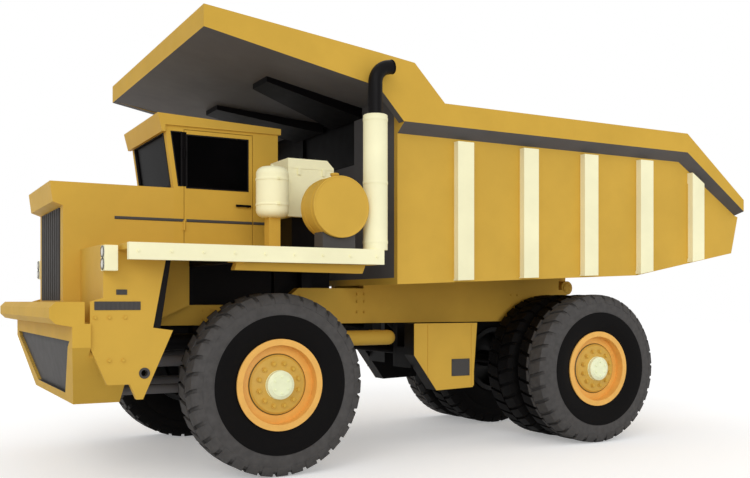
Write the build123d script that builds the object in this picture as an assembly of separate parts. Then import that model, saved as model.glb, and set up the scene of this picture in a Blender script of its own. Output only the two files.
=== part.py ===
"""Rigid haul truck with a rear dump body, as separate named pieces.

Millimetres.  +X is forward, +Y is the truck's left, +Z is up.  The origin is on the ground, on the
centreline, halfway along the truck.  Stations are measured forward of the front axle (function f)
or of the rear axle (function r).
"""
from build123d import *
import math
import os

# ---- driving dimensions -------------------------------------------------------------------------
# Axles and wheels
WHEELBASE = 4840
FRONT_OVERHANG = 2470          # front axle to the nose bar
TAIL_OVERHANG = 2650           # rear axle to the tail of the dump body
TYRE_R = 1030
TYRE_W = 590
BEAD_R = 480                   # where the tyre sits on its rim
FRONT_TRACK_HALF = 1735        # centreline to the middle of a front tyre
DUAL_OUTER_Y = 1560
DUAL_INNER_Y = 860
KINGPIN_Y = 1250
STEER_ARM = 450                # kingpin to tie rod
SPINDLE_R = 90
REAR_SPINDLE_R = 130
RUN = 0.05                     # radial clearance of every running fit
SEAT = 0.3                     # gap where one body rests on another

# Frame
RAIL_OUT_Y = 500
RAIL_W = 160
RAIL_Z0 = 1670
RAIL_FRONT_Z1 = 1920
RAIL_Z1 = 2140
CROSS_L = 200                  # fore and aft length of a crossmember

# Front end
SKIN = 40                      # sheet walls of hood and aprons, cab walls are CAB_WALL
HOOD_HALF = 800
HOOD_TOP_Z = 3310
HOOD_LOW_Z = 1750
FACE_X = 2130                  # front face, ahead of the front axle
BROW = 140                     # brow over the grille
GRILLE_HALF = 640
GRILLE_Z0 = 1975
GRILLE_Z1 = 3030
GRILLE_BARS = 9
BUMPER_HALF = 2020
BUMPER_LOW_HALF = 1300
BUMPER_LOW_Z = 860
BUMPER_KNEE_Z = 1500
NOSE_Z0 = 1740
NOSE_Z1 = 1960
NOSE_CHAMFER = 60
BUMPER_REAR_X = 1620
BUMPER_LOW_X = 2110            # front of the bumper's underside
BUMPER_KNEE_X = 2250           # and of its knee, the face leans out between them
RECESS = 40                    # depth of the sunk panel
RECESS_Z0 = 960
RECESS_Z1 = 1560
RECESS_HALF_LOW = 960
RECESS_HALF_TOP = 1860
APRON_OUT_Y = 1980
APRON_W = 80
APRON_FRONT_X = 1940           # decks and front plates stand back from the hood's face
APRON_TOE_X = 2070             # front edge of the side plate beside the nose bar
APRON_LOW_Z = 1110
APRON_LOW_X = 1900
APRON_REAR_X = 1280            # rear edge under the deck
APRON_WAIST_X = 1430
APRON_WAIST_Z = 1690
LUG_HEEL_X = 1220
LUG_HEEL_Z = 1660
LUG_TIP_X0 = 1535
LUG_TIP_X1 = 1600
LUG_LOW_Z = 950
LUG_NOTCH_X = 1670
EYE_R = 45
EYE_X = 1520
EYE_Z = 1220
STEP_SLOT_X0 = 1560            # the long slot and the short one above it
STEP_SLOT_X1 = 2030
STEP_SLOT_Z = 1920
STEP_SLOT_H = 50
HAND_SLOT_X0 = 1700
HAND_SLOT_X1 = 1810
HAND_SLOT_Z = 2060
HAND_SLOT_H = 30

# Power train, stations from the front axle
ENGINE_X0 = -560
ENGINE_X1 = 1600
ENGINE_Z0 = 1400
ENGINE_DROP = 40               # its top below the cab's underside
GEARBOX_X0 = -1600
GEARBOX_X1 = -600
GEARBOX_Z0 = 1230
GEARBOX_DROP = 60              # its top below the rails'
HOUSING_X0 = -1400
HOUSING_Z1 = 2400
SHAFT_R = 60
SHAFT_IN = 100                 # shaft's ends inside the gearbox and the axle's nose
SHAFT_FRONT_Z = 1400

# Decks over the front wheels and what stands on them
DECK_TOP_Z = 2550
DECK_T = 60
DECK_EDGE_W = 80
DECK_EDGE_H = 170
DECK_FRONT_X = 1790            # front end of the edge beam
DECK_REAR_X = -1075
BEAM_H = 110                   # the two beams across under the decks
BEAM_L = 140
BEAM_FRONT_X = 520
BEAM_REAR_IN = 15              # the rear beam lies this far in from the decks' end
VALANCE_X0 = -940
VALANCE_X1 = 680
VALANCE_IN = 200               # wedge below the decks, in from their outer face
VALANCE_W = 120
VALANCE_REAR_H = 90
VALANCE_RAKE = 30
STACK_X = -1035
STACK_CLEAR = 98               # pipe to the canopy's edge
STACK_R = 140
STACK_H = 1530
PIPE_R = 82
PIPE_BEND_R = 200
PIPE_BEND_DEG = 78
PIPE_RISE = 580                # top of the bend over the shroud
PIPE_END_L = 60
TANK_GAP = 15                  # tank to exhaust shroud
TANK_R = 340
TANK_INSET = 10                # its end plate behind the edge beam's outer face
TANK_L = 340
TANK_Z = 3010
SADDLE_HALF = 200
SADDLE_IN = 60
CLEANER_X = -60
CLEANER_Y = 1600
CLEANER_R = 190
CLEANER_Z0 = 2930
CLEANER_Z1 = 3520
CLEANER_DOME = 90
CLEANER_STAND = 140
BOX_X0 = -900
BOX_X1 = -300
BOX_Y0 = 950
BOX_Y1 = 1500
BOX_Z0 = 2970
BOX_Z1 = 3660
BOX_CHAMFER = 90
BOX_FOOT_IN = 80
LAMP_X0 = 1833
LAMP_L = 130
LAMP_W = 180
LAMP_H = 255
LAMP_DROP = 20                 # lamp's top below the deck's

# Cab
CAB_HALF = HOOD_HALF
CAB_WALL = 50
CAB_REAR_X = -460
CAB_FRONT_X = 870
CAB_SILL_Z = HOOD_TOP_Z              # windows stand on this line
CAB_TOP_Z = 4050
CAB_LEAN = 105                 # how far the windscreen leans forward over its height
ROOF_T = 110
ROOF_LIP = 30                  # roof past the cab's back and sides
ROOF_FALL = 35                 # its top lower at the back
VISOR = 95
VISOR_T = 40
VISOR_DROP = 80
VISOR_RISE = 25
DOOR_X0 = -120
DOOR_X1 = 740
DOOR_Z0 = 2640
DOOR_HEAD = 40                 # its top below the cab's
DOOR_Z1 = CAB_TOP_Z - DOOR_HEAD
DOOR_GAP = 7
WINDOW_RIM = 55                # door frame behind, above and below its window
WINDOW_STILE = 26              # and ahead of it
WINDOW_FOOT = 10               # its window above the sill
QUARTER_GAP = 34               # door to the quarter light
GLASS_T = 14
GLASS_IN = 18                  # panes behind the faces they sit in
SCREEN_IN = 20
SCREEN_HALF = 690
SCREEN_LOW = 30                # glass above the sill and below the cab's top
SCREEN_HIGH = 70
REAR_GLASS_HALF = 450

# Dump body, stations from the rear axle
BODY_HALF = 1950               # outer face of a side panel
PLATE = 80                     # side panels, floor and front wall
BODY_SET_BACK = 1530           # front wall behind the front axle
BODY_FRONT_X = WHEELBASE - BODY_SET_BACK
BODY_FRONT_Z = 2170            # underside of the floor at the front wall
FLOOR_KNEE_X = -580
FLOOR_KNEE_Z = 2330
TAIL_LOW_Z = 2690
TAIL_LOW_BACK = 140            # the tail's lower corner lies this far ahead of its upper one
TAIL_TOP_Z = 3240
RAIL_SPREAD = 170              # top rails and canopy reach this far out from the side panels
RAIL_HALF = BODY_HALF + RAIL_SPREAD
TOPRAIL_Z0 = 4100
TOPRAIL_Z1 = 4370
TOPRAIL_END_X = -1400
TOPRAIL_TIP_X = -2580
TOPRAIL_TIP_Z0 = 3310
TOPRAIL_TIP_Z1 = 3480
TIP_BAND = 50
BAND = 115                     # sloping dark underside of the top rail
KICK_LOW_X = BODY_FRONT_X + 10  # where the rail turns up to the canopy
KICK_RUN = 580
KICK_TOP_X = KICK_LOW_X - KICK_RUN
CANOPY_REACH = 2460            # canopy ahead of the front wall
CANOPY_ROOT = 140              # and behind it
CANOPY_FRONT_X = BODY_FRONT_X + CANOPY_REACH
CANOPY_REAR_X = BODY_FRONT_X - CANOPY_ROOT
CANOPY_FRONT_Z0 = 4870
CANOPY_FRONT_Z1 = 5110
CANOPY_REAR_Z0 = 4430
CANOPY_REAR_Z1 = 4810
CANOPY_T = 60
CANOPY_EDGE = 120
RIB_FIRST_IN = 928             # first rib behind the front wall
RIB_LAST_X = -1702
RIB_COUNT = 5
RIB_W = 240
RIB_T = 100
PIVOT_X = -560
PIVOT_Z = 2170
PIVOT_R = 60
LUG_R = 105

# Hoists, stations from the rear axle; they stand between the frame rails
HOIST_Y = 200
HOIST_FOOT_X = 1340
HOIST_FOOT_Z = 1000
HOIST_HEAD_X = 2540
HOIST_HEAD_Z = 2080
HOIST_R = 125
HOIST_WALL = 20
HOIST_PIN_R = 45

# Side tanks and side tubes
SIDE_TANK_Y0 = 840
SIDE_TANK_Y1 = 1100
SIDE_TANK_FRONT_X = 2560       # from the rear axle
SIDE_TANK_TOP_L = 1010         # along its top
SIDE_TANK_RAKE = 350           # its front edge slopes back by this much to its foot
SIDE_TANK_FOOT_L = 590
SIDE_TANK_SHOULDER_Z = 1250
SIDE_TANK_LOW_Z = 770
SIDE_TANK_HEEL_RISE = 20
SIDE_TANK_STAGGER = 270        # the right tank hangs this much further back
HANGER_L = 280
HANGER_IN = 100                # hanger behind the tank's front
HANGER_H = 280
HANGER_Z = 1200
HANGER_EDGE_IN = 20            # it is this much narrower than the rail on each side
TUBE_Y = 620
TUBE_Z = 1475
TUBE_R = 100

# what follows from them
STACK_Y = RAIL_HALF + STACK_CLEAR + PIPE_R
DECK_EDGE_Y = STACK_Y + STACK_R
STACK_TOP_Z = DECK_TOP_Z + STACK_H
TANK_X = STACK_X + STACK_R + TANK_GAP + TANK_R
TANK_OUT_Y = DECK_EDGE_Y - TANK_INSET
AXLE_F_X = (WHEELBASE + FRONT_OVERHANG + TAIL_OVERHANG) / 2 - FRONT_OVERHANG
AXLE_R_X = AXLE_F_X - WHEELBASE
os.makedirs("parts", exist_ok=True)


# ---- small helpers ------------------------------------------------------------------------------
def f(x):
    """Station ahead of the front axle, in the truck's frame."""
    return AXLE_F_X + x


def r(x):
    """Station ahead of the rear axle, in the truck's frame."""
    return AXLE_R_X + x


def block(x0, x1, y0, y1, z0, z1):
    return Pos((x0 + x1) / 2, (y0 + y1) / 2, (z0 + z1) / 2) * Box(x1 - x0, y1 - y0, z1 - z0)


def side_prism(points, y0, y1):
    """A side outline of (x, z) points, drawn out from y0 to y1."""
    face = Face(Wire.make_polygon([(x, y0, z) for x, z in points]))
    return extrude(face, amount=y1 - y0, dir=(0, 1, 0))


def front_prism(points, x0, x1):
    """A front outline of (y, z) points, drawn out from x0 to x1."""
    face = Face(Wire.make_polygon([(x0, y, z) for y, z in points]))
    return extrude(face, amount=x1 - x0, dir=(1, 0, 0))


def plan_prism(points, z0, z1):
    """A plan outline of (x, y) points, drawn up from z0 to z1."""
    face = Face(Wire.make_polygon([(x, y, z0) for x, y in points]))
    return extrude(face, amount=z1 - z0, dir=(0, 0, 1))


def rod(start, end, radius):
    """A round bar from one point to another."""
    axis = Vector(*end) - Vector(*start)
    bar = Cylinder(radius, axis.length, align=(Align.CENTER, Align.CENTER, Align.MIN))
    return Plane(origin=start, z_dir=axis) * bar


def cross_rod(x, z, y0, y1, radius):
    """A round bar along Y."""
    return rod((x, y0, z), (x, y1, z), radius)


def mirrored(shape):
    return mirror(shape, about=Plane.XZ)


def save(node, *solids):
    shape = solids[0] if len(solids) == 1 else Compound(children=list(solids))
    export_step(shape, f"parts/{node}.step")


def save_pair(node, shape):
    """Left and right copies that stay on one body."""
    save(node, shape, mirrored(shape))


SIDES = [("left", 1), ("right", -1)]


def save_sides(node, shape):
    """Left and right copies on bodies of their own."""
    save(f"{node}_left", shape)
    save(f"{node}_right", mirrored(shape))


# ---- main frame: two rails, crossmembers, strut outriggers, hoist feet and the body hinge pins ---
RAIL_IN_Y = RAIL_OUT_Y - RAIL_W
RAIL_STEP_X = -600             # the rail steps up behind the cab
RAIL_STEP_L = 280
RAIL_NOSE_X = 2000
RAIL_TAIL_X = 430              # behind it the rail's underside rises to the hinge
rail_outline = [
    (f(RAIL_NOSE_X), RAIL_Z0), (f(RAIL_NOSE_X), RAIL_FRONT_Z1), (f(RAIL_STEP_X), RAIL_FRONT_Z1),
    (f(RAIL_STEP_X - RAIL_STEP_L), RAIL_Z1), (r(PIVOT_X + LUG_R), RAIL_Z1), (r(PIVOT_X), PIVOT_Z),
    (r(PIVOT_X), PIVOT_Z - LUG_R), (r(RAIL_TAIL_X), RAIL_Z0),
]
PIN_REACH = 110                # hinge pin inward of the rail
rail = side_prism(rail_outline, RAIL_IN_Y, RAIL_OUT_Y)
rail += cross_rod(r(PIVOT_X), PIVOT_Z, RAIL_IN_Y, RAIL_OUT_Y, LUG_R)
rail += cross_rod(r(PIVOT_X), PIVOT_Z, RAIL_IN_Y - PIN_REACH, RAIL_OUT_Y, PIVOT_R)
FOOT_PLATE_W = 60
FOOT_GAP = 10
FOOT_TOP_HALF = 160
FOOT_LOW_HALF = 100
foot_y0 = HOIST_Y + HOIST_R + FOOT_GAP
rail += side_prism(
    [(r(HOIST_FOOT_X + FOOT_TOP_HALF), RAIL_Z0), (r(HOIST_FOOT_X - FOOT_TOP_HALF), RAIL_Z0),
     (r(HOIST_FOOT_X - FOOT_LOW_HALF), HOIST_FOOT_Z - FOOT_LOW_HALF),
     (r(HOIST_FOOT_X + FOOT_LOW_HALF), HOIST_FOOT_Z - FOOT_LOW_HALF)],
    foot_y0, foot_y0 + FOOT_PLATE_W)
rail += cross_rod(r(HOIST_FOOT_X), HOIST_FOOT_Z, HOIST_Y - HOIST_R, foot_y0 + FOOT_PLATE_W, HOIST_PIN_R)
STRUT_Y = 620
STRUT_R = 95
OUTRIGGER_Y = 740
OUTRIGGER_HALF = 150
OUTRIGGER_H = 170
rail += block(f(-OUTRIGGER_HALF), f(OUTRIGGER_HALF), RAIL_IN_Y, OUTRIGGER_Y, RAIL_Z0, RAIL_Z0 + OUTRIGGER_H)
frame = rail + mirrored(rail)
CROSS_FRONT_X = 1800           # crossmembers ahead of the engine, behind the gearbox and over the rear axle
CROSS_GAP = 100
CROSS_REAR_X = 300
CROSS_H = 150
for cross_x in [f(CROSS_FRONT_X), f(GEARBOX_X0 - CROSS_GAP - CROSS_L), r(CROSS_REAR_X)]:
    frame += block(cross_x, cross_x + CROSS_L, -RAIL_IN_Y, RAIL_IN_Y, RAIL_Z0, RAIL_Z0 + CROSS_H)
save("main_frame", frame)

# ---- front bumper: a box section, chamfered below, with a nose bar along its top -----------------
bumper_side = [
    (f(BUMPER_REAR_X), BUMPER_LOW_Z), (f(BUMPER_LOW_X), BUMPER_LOW_Z), (f(BUMPER_KNEE_X), BUMPER_KNEE_Z),
    (f(BUMPER_KNEE_X), NOSE_Z0 - NOSE_CHAMFER / 2), (f(FRONT_OVERHANG - NOSE_CHAMFER), NOSE_Z0),
    (f(FRONT_OVERHANG), NOSE_Z0 + NOSE_CHAMFER), (f(FRONT_OVERHANG), NOSE_Z1 - NOSE_CHAMFER),
    (f(FRONT_OVERHANG - NOSE_CHAMFER), NOSE_Z1),
    (f(FACE_X + SEAT), NOSE_Z1), (f(FACE_X + SEAT), NOSE_Z0), (f(BUMPER_REAR_X), NOSE_Z0),
]
bumper_front = [
    (-BUMPER_LOW_HALF, BUMPER_LOW_Z), (BUMPER_LOW_HALF, BUMPER_LOW_Z), (BUMPER_HALF, BUMPER_KNEE_Z),
    (BUMPER_HALF, NOSE_Z1), (-BUMPER_HALF, NOSE_Z1), (-BUMPER_HALF, BUMPER_KNEE_Z),
]
bumper = side_prism(bumper_side, -BUMPER_HALF, BUMPER_HALF)
bumper &= front_prism(bumper_front, f(BUMPER_REAR_X), f(FRONT_OVERHANG))
recess_side = [
    (f(BUMPER_KNEE_X - RECESS), BUMPER_KNEE_Z), (f(BUMPER_LOW_X - RECESS), BUMPER_LOW_Z),
    (f(FRONT_OVERHANG), BUMPER_LOW_Z), (f(FRONT_OVERHANG), RECESS_Z1), (f(BUMPER_KNEE_X - RECESS), RECESS_Z1),
]
recess_front = [(-RECESS_HALF_LOW, RECESS_Z0), (RECESS_HALF_LOW, RECESS_Z0),
                (RECESS_HALF_TOP, RECESS_Z1), (-RECESS_HALF_TOP, RECESS_Z1)]
recess = side_prism(recess_side, -BUMPER_HALF, BUMPER_HALF)
recess &= front_prism(recess_front, f(BUMPER_REAR_X), f(FRONT_OVERHANG))
bumper -= recess
bumper -= block(f(BUMPER_REAR_X), f(RAIL_NOSE_X), -RAIL_OUT_Y, RAIL_OUT_Y, RAIL_Z0, NOSE_Z0)
# the aprons' side plates stand in slots in the bumper's ends
plate_slot = block(f(BUMPER_REAR_X), f(APRON_TOE_X), APRON_OUT_Y - APRON_W, BUMPER_HALF, BUMPER_LOW_Z, NOSE_Z0)
bumper -= plate_slot + mirrored(plate_slot)
save("front_bumper", bumper)

# ---- aprons: side plates with the tie-down lugs, and the front plates beside the grille ----------
DECK_Z0 = DECK_TOP_Z - DECK_T
apron_side = [
    (f(APRON_FRONT_X), DECK_Z0), (f(APRON_REAR_X), DECK_Z0), (f(APRON_WAIST_X), APRON_WAIST_Z),
    (f(LUG_HEEL_X), LUG_HEEL_Z), (f(LUG_TIP_X0), LUG_LOW_Z), (f(LUG_TIP_X1), LUG_LOW_Z),
    (f(LUG_NOTCH_X), APRON_LOW_Z), (f(APRON_LOW_X), APRON_LOW_Z), (f(APRON_TOE_X), BUMPER_KNEE_Z),
    (f(APRON_TOE_X), NOSE_Z1), (f(APRON_FRONT_X), NOSE_Z1 + SKIN),
]
plate_in_y = APRON_OUT_Y - APRON_W
apron = side_prism(apron_side, plate_in_y, APRON_OUT_Y)
apron += block(f(APRON_FRONT_X - SKIN), f(APRON_FRONT_X), HOOD_HALF, APRON_OUT_Y, NOSE_Z0, DECK_Z0)
apron -= cross_rod(f(EYE_X), EYE_Z, plate_in_y, APRON_OUT_Y, EYE_R)
for x0, x1, z, h in [(STEP_SLOT_X0, STEP_SLOT_X1, STEP_SLOT_Z, STEP_SLOT_H),
                     (HAND_SLOT_X0, HAND_SLOT_X1, HAND_SLOT_Z, HAND_SLOT_H)]:
    apron -= block(f(x0), f(x1), plate_in_y, APRON_OUT_Y, z - h / 2, z + h / 2)
save_pair("side_aprons", apron)

# ---- fender decks with their cross beams and posts -----------------------------------------------
EDGE_IN_Y = DECK_EDGE_Y - DECK_EDGE_W
deck = plan_prism(
    [(f(APRON_FRONT_X), HOOD_HALF), (f(APRON_FRONT_X), APRON_OUT_Y), (f(DECK_FRONT_X), APRON_OUT_Y),
     (f(DECK_FRONT_X), EDGE_IN_Y), (f(DECK_REAR_X), EDGE_IN_Y), (f(DECK_REAR_X), HOOD_HALF)],
    DECK_Z0, DECK_TOP_Z)
for beam_x, rail_top in [(f(BEAM_FRONT_X), RAIL_FRONT_Z1), (f(DECK_REAR_X + BEAM_REAR_IN), RAIL_Z1)]:
    deck += block(beam_x, beam_x + BEAM_L, RAIL_IN_Y, EDGE_IN_Y, DECK_Z0 - BEAM_H, DECK_Z0)
    deck += block(beam_x, beam_x + BEAM_L, RAIL_IN_Y, RAIL_OUT_Y, rail_top, DECK_Z0 - BEAM_H)
valance = [
    (f(VALANCE_X1), DECK_Z0), (f(VALANCE_X1 - VALANCE_RAKE), DECK_Z0 - BEAM_H),
    (f(VALANCE_X0 + VALANCE_RAKE), DECK_Z0 - VALANCE_REAR_H), (f(VALANCE_X0), DECK_Z0)]
valance_y = DECK_EDGE_Y - VALANCE_IN
deck += side_prism(valance, valance_y - VALANCE_W, valance_y)
save_pair("fender_decks", deck)
edge = block(f(DECK_REAR_X), f(DECK_FRONT_X), EDGE_IN_Y, DECK_EDGE_Y, DECK_TOP_Z - DECK_EDGE_H, DECK_TOP_Z)
save_pair("deck_edges", edge)

# ---- hood: an open-bottomed shell with a brow over the grille ------------------------------------
HOOD_HEEL_X = 680
HOOD_BELLY_X = 1050
BROW_DROP = 270
BROW_LIP = 230
BROW_RAKE = 30


def hood_outline(inset):
    """Side outline of the hood, or of the space inside it; its rear stands open to the cab."""
    return [
        (f(FACE_X) - inset, HOOD_LOW_Z), (f(HOOD_BELLY_X), HOOD_LOW_Z), (f(HOOD_HEEL_X), RAIL_FRONT_Z1),
        (f(HOOD_HEEL_X), DECK_Z0), (f(CAB_FRONT_X), DECK_Z0),
        (f(CAB_FRONT_X), HOOD_TOP_Z - inset), (f(FACE_X) - inset, HOOD_TOP_Z - inset),
    ]


hood = side_prism(hood_outline(0), -HOOD_HALF, HOOD_HALF)
brow_z = HOOD_TOP_Z - BROW_DROP
brow_side = [
    (f(FACE_X) - SKIN, HOOD_TOP_Z), (f(FACE_X + BROW), HOOD_TOP_Z),
    (f(FACE_X + BROW - BROW_RAKE), HOOD_TOP_Z - BROW_LIP), (f(FACE_X), brow_z), (f(FACE_X) - SKIN, brow_z),
]
hood += side_prism(brow_side, -HOOD_HALF, HOOD_HALF)
hood -= side_prism(hood_outline(SKIN), -HOOD_HALF + SKIN, HOOD_HALF - SKIN)
hood -= block(f(FACE_X) - SKIN, f(FACE_X), -GRILLE_HALF, GRILLE_HALF, GRILLE_Z0, GRILLE_Z1)
save("hood", hood)

# ---- grille: a frame of upright bars before the radiator core ------------------------------------
BAR_PROUD = 15                 # bars stand ahead of the hood's face
core = block(f(FACE_X) - SKIN, f(FACE_X) - SKIN / 2, -GRILLE_HALF, GRILLE_HALF, GRILLE_Z0, GRILLE_Z1)
bar_pitch = 2 * GRILLE_HALF / GRILLE_BARS
grille = core
for i in range(GRILLE_BARS):
    bar_y = -GRILLE_HALF + (i + 0.5) * bar_pitch
    grille += block(f(FACE_X) - SKIN, f(FACE_X) + BAR_PROUD, bar_y - bar_pitch / 4, bar_y + bar_pitch / 4,
                    GRILLE_Z0, GRILLE_Z1)
save("grille", grille)

# ---- power train: engine, transmission and drive shaft -------------------------------------------
BLOCK_HALF = RAIL_IN_Y         # both blocks sit between the rails
AXLE_Z = TYRE_R
engine = block(f(ENGINE_X0), f(ENGINE_X1), -BLOCK_HALF, BLOCK_HALF, ENGINE_Z0, DECK_Z0 - ENGINE_DROP)
save("engine_block", engine)
gearbox = block(f(GEARBOX_X0), f(GEARBOX_X1), -BLOCK_HALF, BLOCK_HALF, GEARBOX_Z0, RAIL_Z1 - GEARBOX_DROP)
gearbox += block(f(HOUSING_X0), f(GEARBOX_X1), -BLOCK_HALF, BLOCK_HALF, RAIL_Z1 - GEARBOX_DROP, HOUSING_Z1)
save("transmission", gearbox)

# ---- deck equipment: exhausts, tanks, air cleaners and side boxes --------------------------------
stack = rod((f(STACK_X), STACK_Y, DECK_TOP_Z), (f(STACK_X), STACK_Y, STACK_TOP_Z), STACK_R)
bend_z = STACK_TOP_Z + PIPE_RISE - PIPE_BEND_R


def bend_point(degrees):
    """A point on the pipe's bend to the rear, from its start at 0 degrees."""
    turn = math.radians(degrees)
    return Vector(f(STACK_X) - PIPE_BEND_R * (1 - math.cos(turn)), STACK_Y,
                  bend_z + PIPE_BEND_R * math.sin(turn))


last_turn = math.radians(PIPE_BEND_DEG)
pipe_line = Polyline((f(STACK_X), STACK_Y, STACK_TOP_Z), bend_point(0))
pipe_line += ThreePointArc(bend_point(0), bend_point(PIPE_BEND_DEG / 2), bend_point(PIPE_BEND_DEG))
pipe_line += Polyline(bend_point(PIPE_BEND_DEG), bend_point(PIPE_BEND_DEG)
                      + Vector(-math.sin(last_turn), 0, math.cos(last_turn)) * PIPE_END_L)
stack += sweep(Pos(f(STACK_X), STACK_Y, STACK_TOP_Z) * Circle(PIPE_R), path=pipe_line)
save_pair("exhaust_stacks", stack)

tank = cross_rod(f(TANK_X), TANK_Z, TANK_OUT_Y - TANK_L, TANK_OUT_Y, TANK_R)
saddle = block(f(TANK_X - SADDLE_HALF), f(TANK_X + SADDLE_HALF), TANK_OUT_Y - TANK_L + SADDLE_IN,
               TANK_OUT_Y - SADDLE_IN, DECK_TOP_Z, TANK_Z - TANK_R / 2)
save_pair("deck_tanks", tank + saddle)

can = rod((f(CLEANER_X), CLEANER_Y, CLEANER_Z0), (f(CLEANER_X), CLEANER_Y, CLEANER_Z1), CLEANER_R)
can = fillet(can.edges().filter_by(GeomType.CIRCLE), CLEANER_DOME)
half = CLEANER_STAND / 2
stand = block(f(CLEANER_X) - half, f(CLEANER_X) + half, CLEANER_Y - half, CLEANER_Y + half, DECK_TOP_Z,
              CLEANER_Z0 + CLEANER_DOME)
save_pair("air_cleaners", can + stand)

side_box = block(f(BOX_X0), f(BOX_X1), BOX_Y0, BOX_Y1, BOX_Z0, BOX_Z1)
box_corner = side_box.edges().filter_by(Axis.Y).sort_by(Axis.Z)[-2:].sort_by(Axis.X)[0]
side_box = chamfer(box_corner, BOX_CHAMFER)
side_box += block(f(BOX_X0 + BOX_FOOT_IN), f(BOX_X1 - BOX_FOOT_IN), BOX_Y0 + BOX_FOOT_IN,
                  BOX_Y1 - BOX_FOOT_IN, DECK_TOP_Z, BOX_Z0)
save_pair("deck_boxes", side_box)

lamp_z1 = DECK_TOP_Z - LAMP_DROP
lamp = block(f(LAMP_X0), f(LAMP_X0 + LAMP_L), APRON_OUT_Y, APRON_OUT_Y + LAMP_W, lamp_z1 - LAMP_H, lamp_z1)
save_pair("head_lamps", lamp)

# ---- cab: shell, roof, glass, seat and wheel ------------------------------------------------------
CAB_Z0 = DECK_Z0


def lean(z):
    """How far the windscreen wall stands ahead of its foot at height z."""
    return CAB_LEAN * max(0, z - CAB_SILL_Z) / (CAB_TOP_Z - CAB_SILL_Z)


def cab_outline(inset):
    front = f(CAB_FRONT_X) - inset
    rear = f(CAB_REAR_X) + inset
    return [(front, CAB_Z0 + inset), (front, CAB_SILL_Z), (front + CAB_LEAN, CAB_TOP_Z),
            (rear, CAB_TOP_Z), (rear, CAB_Z0 + inset)]


cab = side_prism(cab_outline(0), -CAB_HALF, CAB_HALF)
cab -= side_prism(cab_outline(CAB_WALL), -CAB_HALF + CAB_WALL, CAB_HALF - CAB_WALL)
door_hole = block(f(DOOR_X0 - DOOR_GAP), f(DOOR_X1 + DOOR_GAP), CAB_HALF - CAB_WALL, CAB_HALF,
                  DOOR_Z0 - DOOR_GAP, DOOR_Z1 + DOOR_GAP)
cab -= door_hole + mirrored(door_hole)
SCREEN_Z0 = CAB_SILL_Z + SCREEN_LOW
SCREEN_Z1 = CAB_TOP_Z - SCREEN_HIGH
cab -= block(f(CAB_FRONT_X - 2 * CAB_WALL), f(CAB_FRONT_X + CAB_LEAN), -SCREEN_HALF, SCREEN_HALF,
             SCREEN_Z0, SCREEN_Z1)
cab -= block(f(CAB_REAR_X), f(CAB_REAR_X) + CAB_WALL, -REAR_GLASS_HALF, REAR_GLASS_HALF, SCREEN_Z0, SCREEN_Z1)
# the sloping quarter light ahead of each door
PILLAR = 62
quarter = [(f(DOOR_X1 + QUARTER_GAP), SCREEN_Z0), (f(CAB_FRONT_X - PILLAR) + lean(SCREEN_Z0), SCREEN_Z0),
           (f(CAB_FRONT_X - PILLAR) + lean(SCREEN_Z1), SCREEN_Z1), (f(DOOR_X1 + QUARTER_GAP), SCREEN_Z1)]
quarter_hole = side_prism(quarter, CAB_HALF - CAB_WALL, CAB_HALF)
cab -= quarter_hole + mirrored(quarter_hole)

# door hinges: two to a door, the cab's knuckles above and below the door's own
HINGE_R = 12
HINGE_LEAF = 6
HINGE_H = 60
HINGE_LEAF_L = 28
HINGE_LOW = 230                # lower hinge above the door's foot
HINGE_HIGH = 280               # upper hinge below its top
HINGE_X = f(DOOR_X1 + DOOR_GAP / 2)
HINGE_STAND = 2
HINGE_Y = CAB_HALF + HINGE_R + HINGE_STAND
HINGE_HEIGHTS = [DOOR_Z0 + HINGE_LOW, DOOR_Z1 - HINGE_HIGH]


def hinge_knuckle(z0, z1, leaf_x):
    barrel_part = rod((HINGE_X, HINGE_Y, z0), (HINGE_X, HINGE_Y, z1), HINGE_R)
    leaf = block(min(HINGE_X, leaf_x), max(HINGE_X, leaf_x), CAB_HALF, CAB_HALF + HINGE_LEAF, z0, z1)
    return barrel_part + leaf


for z in HINGE_HEIGHTS:
    pair = hinge_knuckle(z + HINGE_H / 2 + SEAT, z + HINGE_H, HINGE_X + HINGE_LEAF_L)
    pair += hinge_knuckle(z - HINGE_H, z - HINGE_H / 2 - SEAT, HINGE_X + HINGE_LEAF_L)
    cab += pair + mirrored(pair)
save("cab_shell", cab)

roof_side = [
    (f(CAB_REAR_X - ROOF_LIP), CAB_TOP_Z), (f(CAB_FRONT_X) + CAB_LEAN, CAB_TOP_Z),
    (f(CAB_FRONT_X) + CAB_LEAN, CAB_TOP_Z - VISOR_DROP),
    (f(CAB_FRONT_X) + CAB_LEAN + VISOR_T, CAB_TOP_Z - VISOR_DROP),
    (f(CAB_FRONT_X) + CAB_LEAN + VISOR, CAB_TOP_Z + ROOF_T + VISOR_RISE),
    (f(CAB_REAR_X - ROOF_LIP), CAB_TOP_Z + ROOF_T - ROOF_FALL),
]
save("cab_roof", side_prism(roof_side, -CAB_HALF - ROOF_LIP, CAB_HALF + ROOF_LIP))


def pane(z0, z1, y0, y1, back):
    """A windscreen pane parallel to the leaning wall, its front face `back` behind the wall's."""
    front = f(CAB_FRONT_X) - back
    return side_prism([(front + lean(z0), z0), (front + lean(z1), z1), (front + lean(z1) - GLASS_T, z1),
                       (front + lean(z0) - GLASS_T, z0)], y0, y1)


screen = pane(SCREEN_Z0, SCREEN_Z1, -SCREEN_HALF, SCREEN_HALF, SCREEN_IN)
rear_pane = block(f(CAB_REAR_X) + GLASS_IN, f(CAB_REAR_X) + GLASS_IN + GLASS_T,
                  -REAR_GLASS_HALF, REAR_GLASS_HALF, SCREEN_Z0, SCREEN_Z1)
quarter_pane = side_prism(quarter, CAB_HALF - GLASS_IN - GLASS_T, CAB_HALF - GLASS_IN)
save("cab_glass", screen, rear_pane, quarter_pane, mirrored(quarter_pane))

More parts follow.
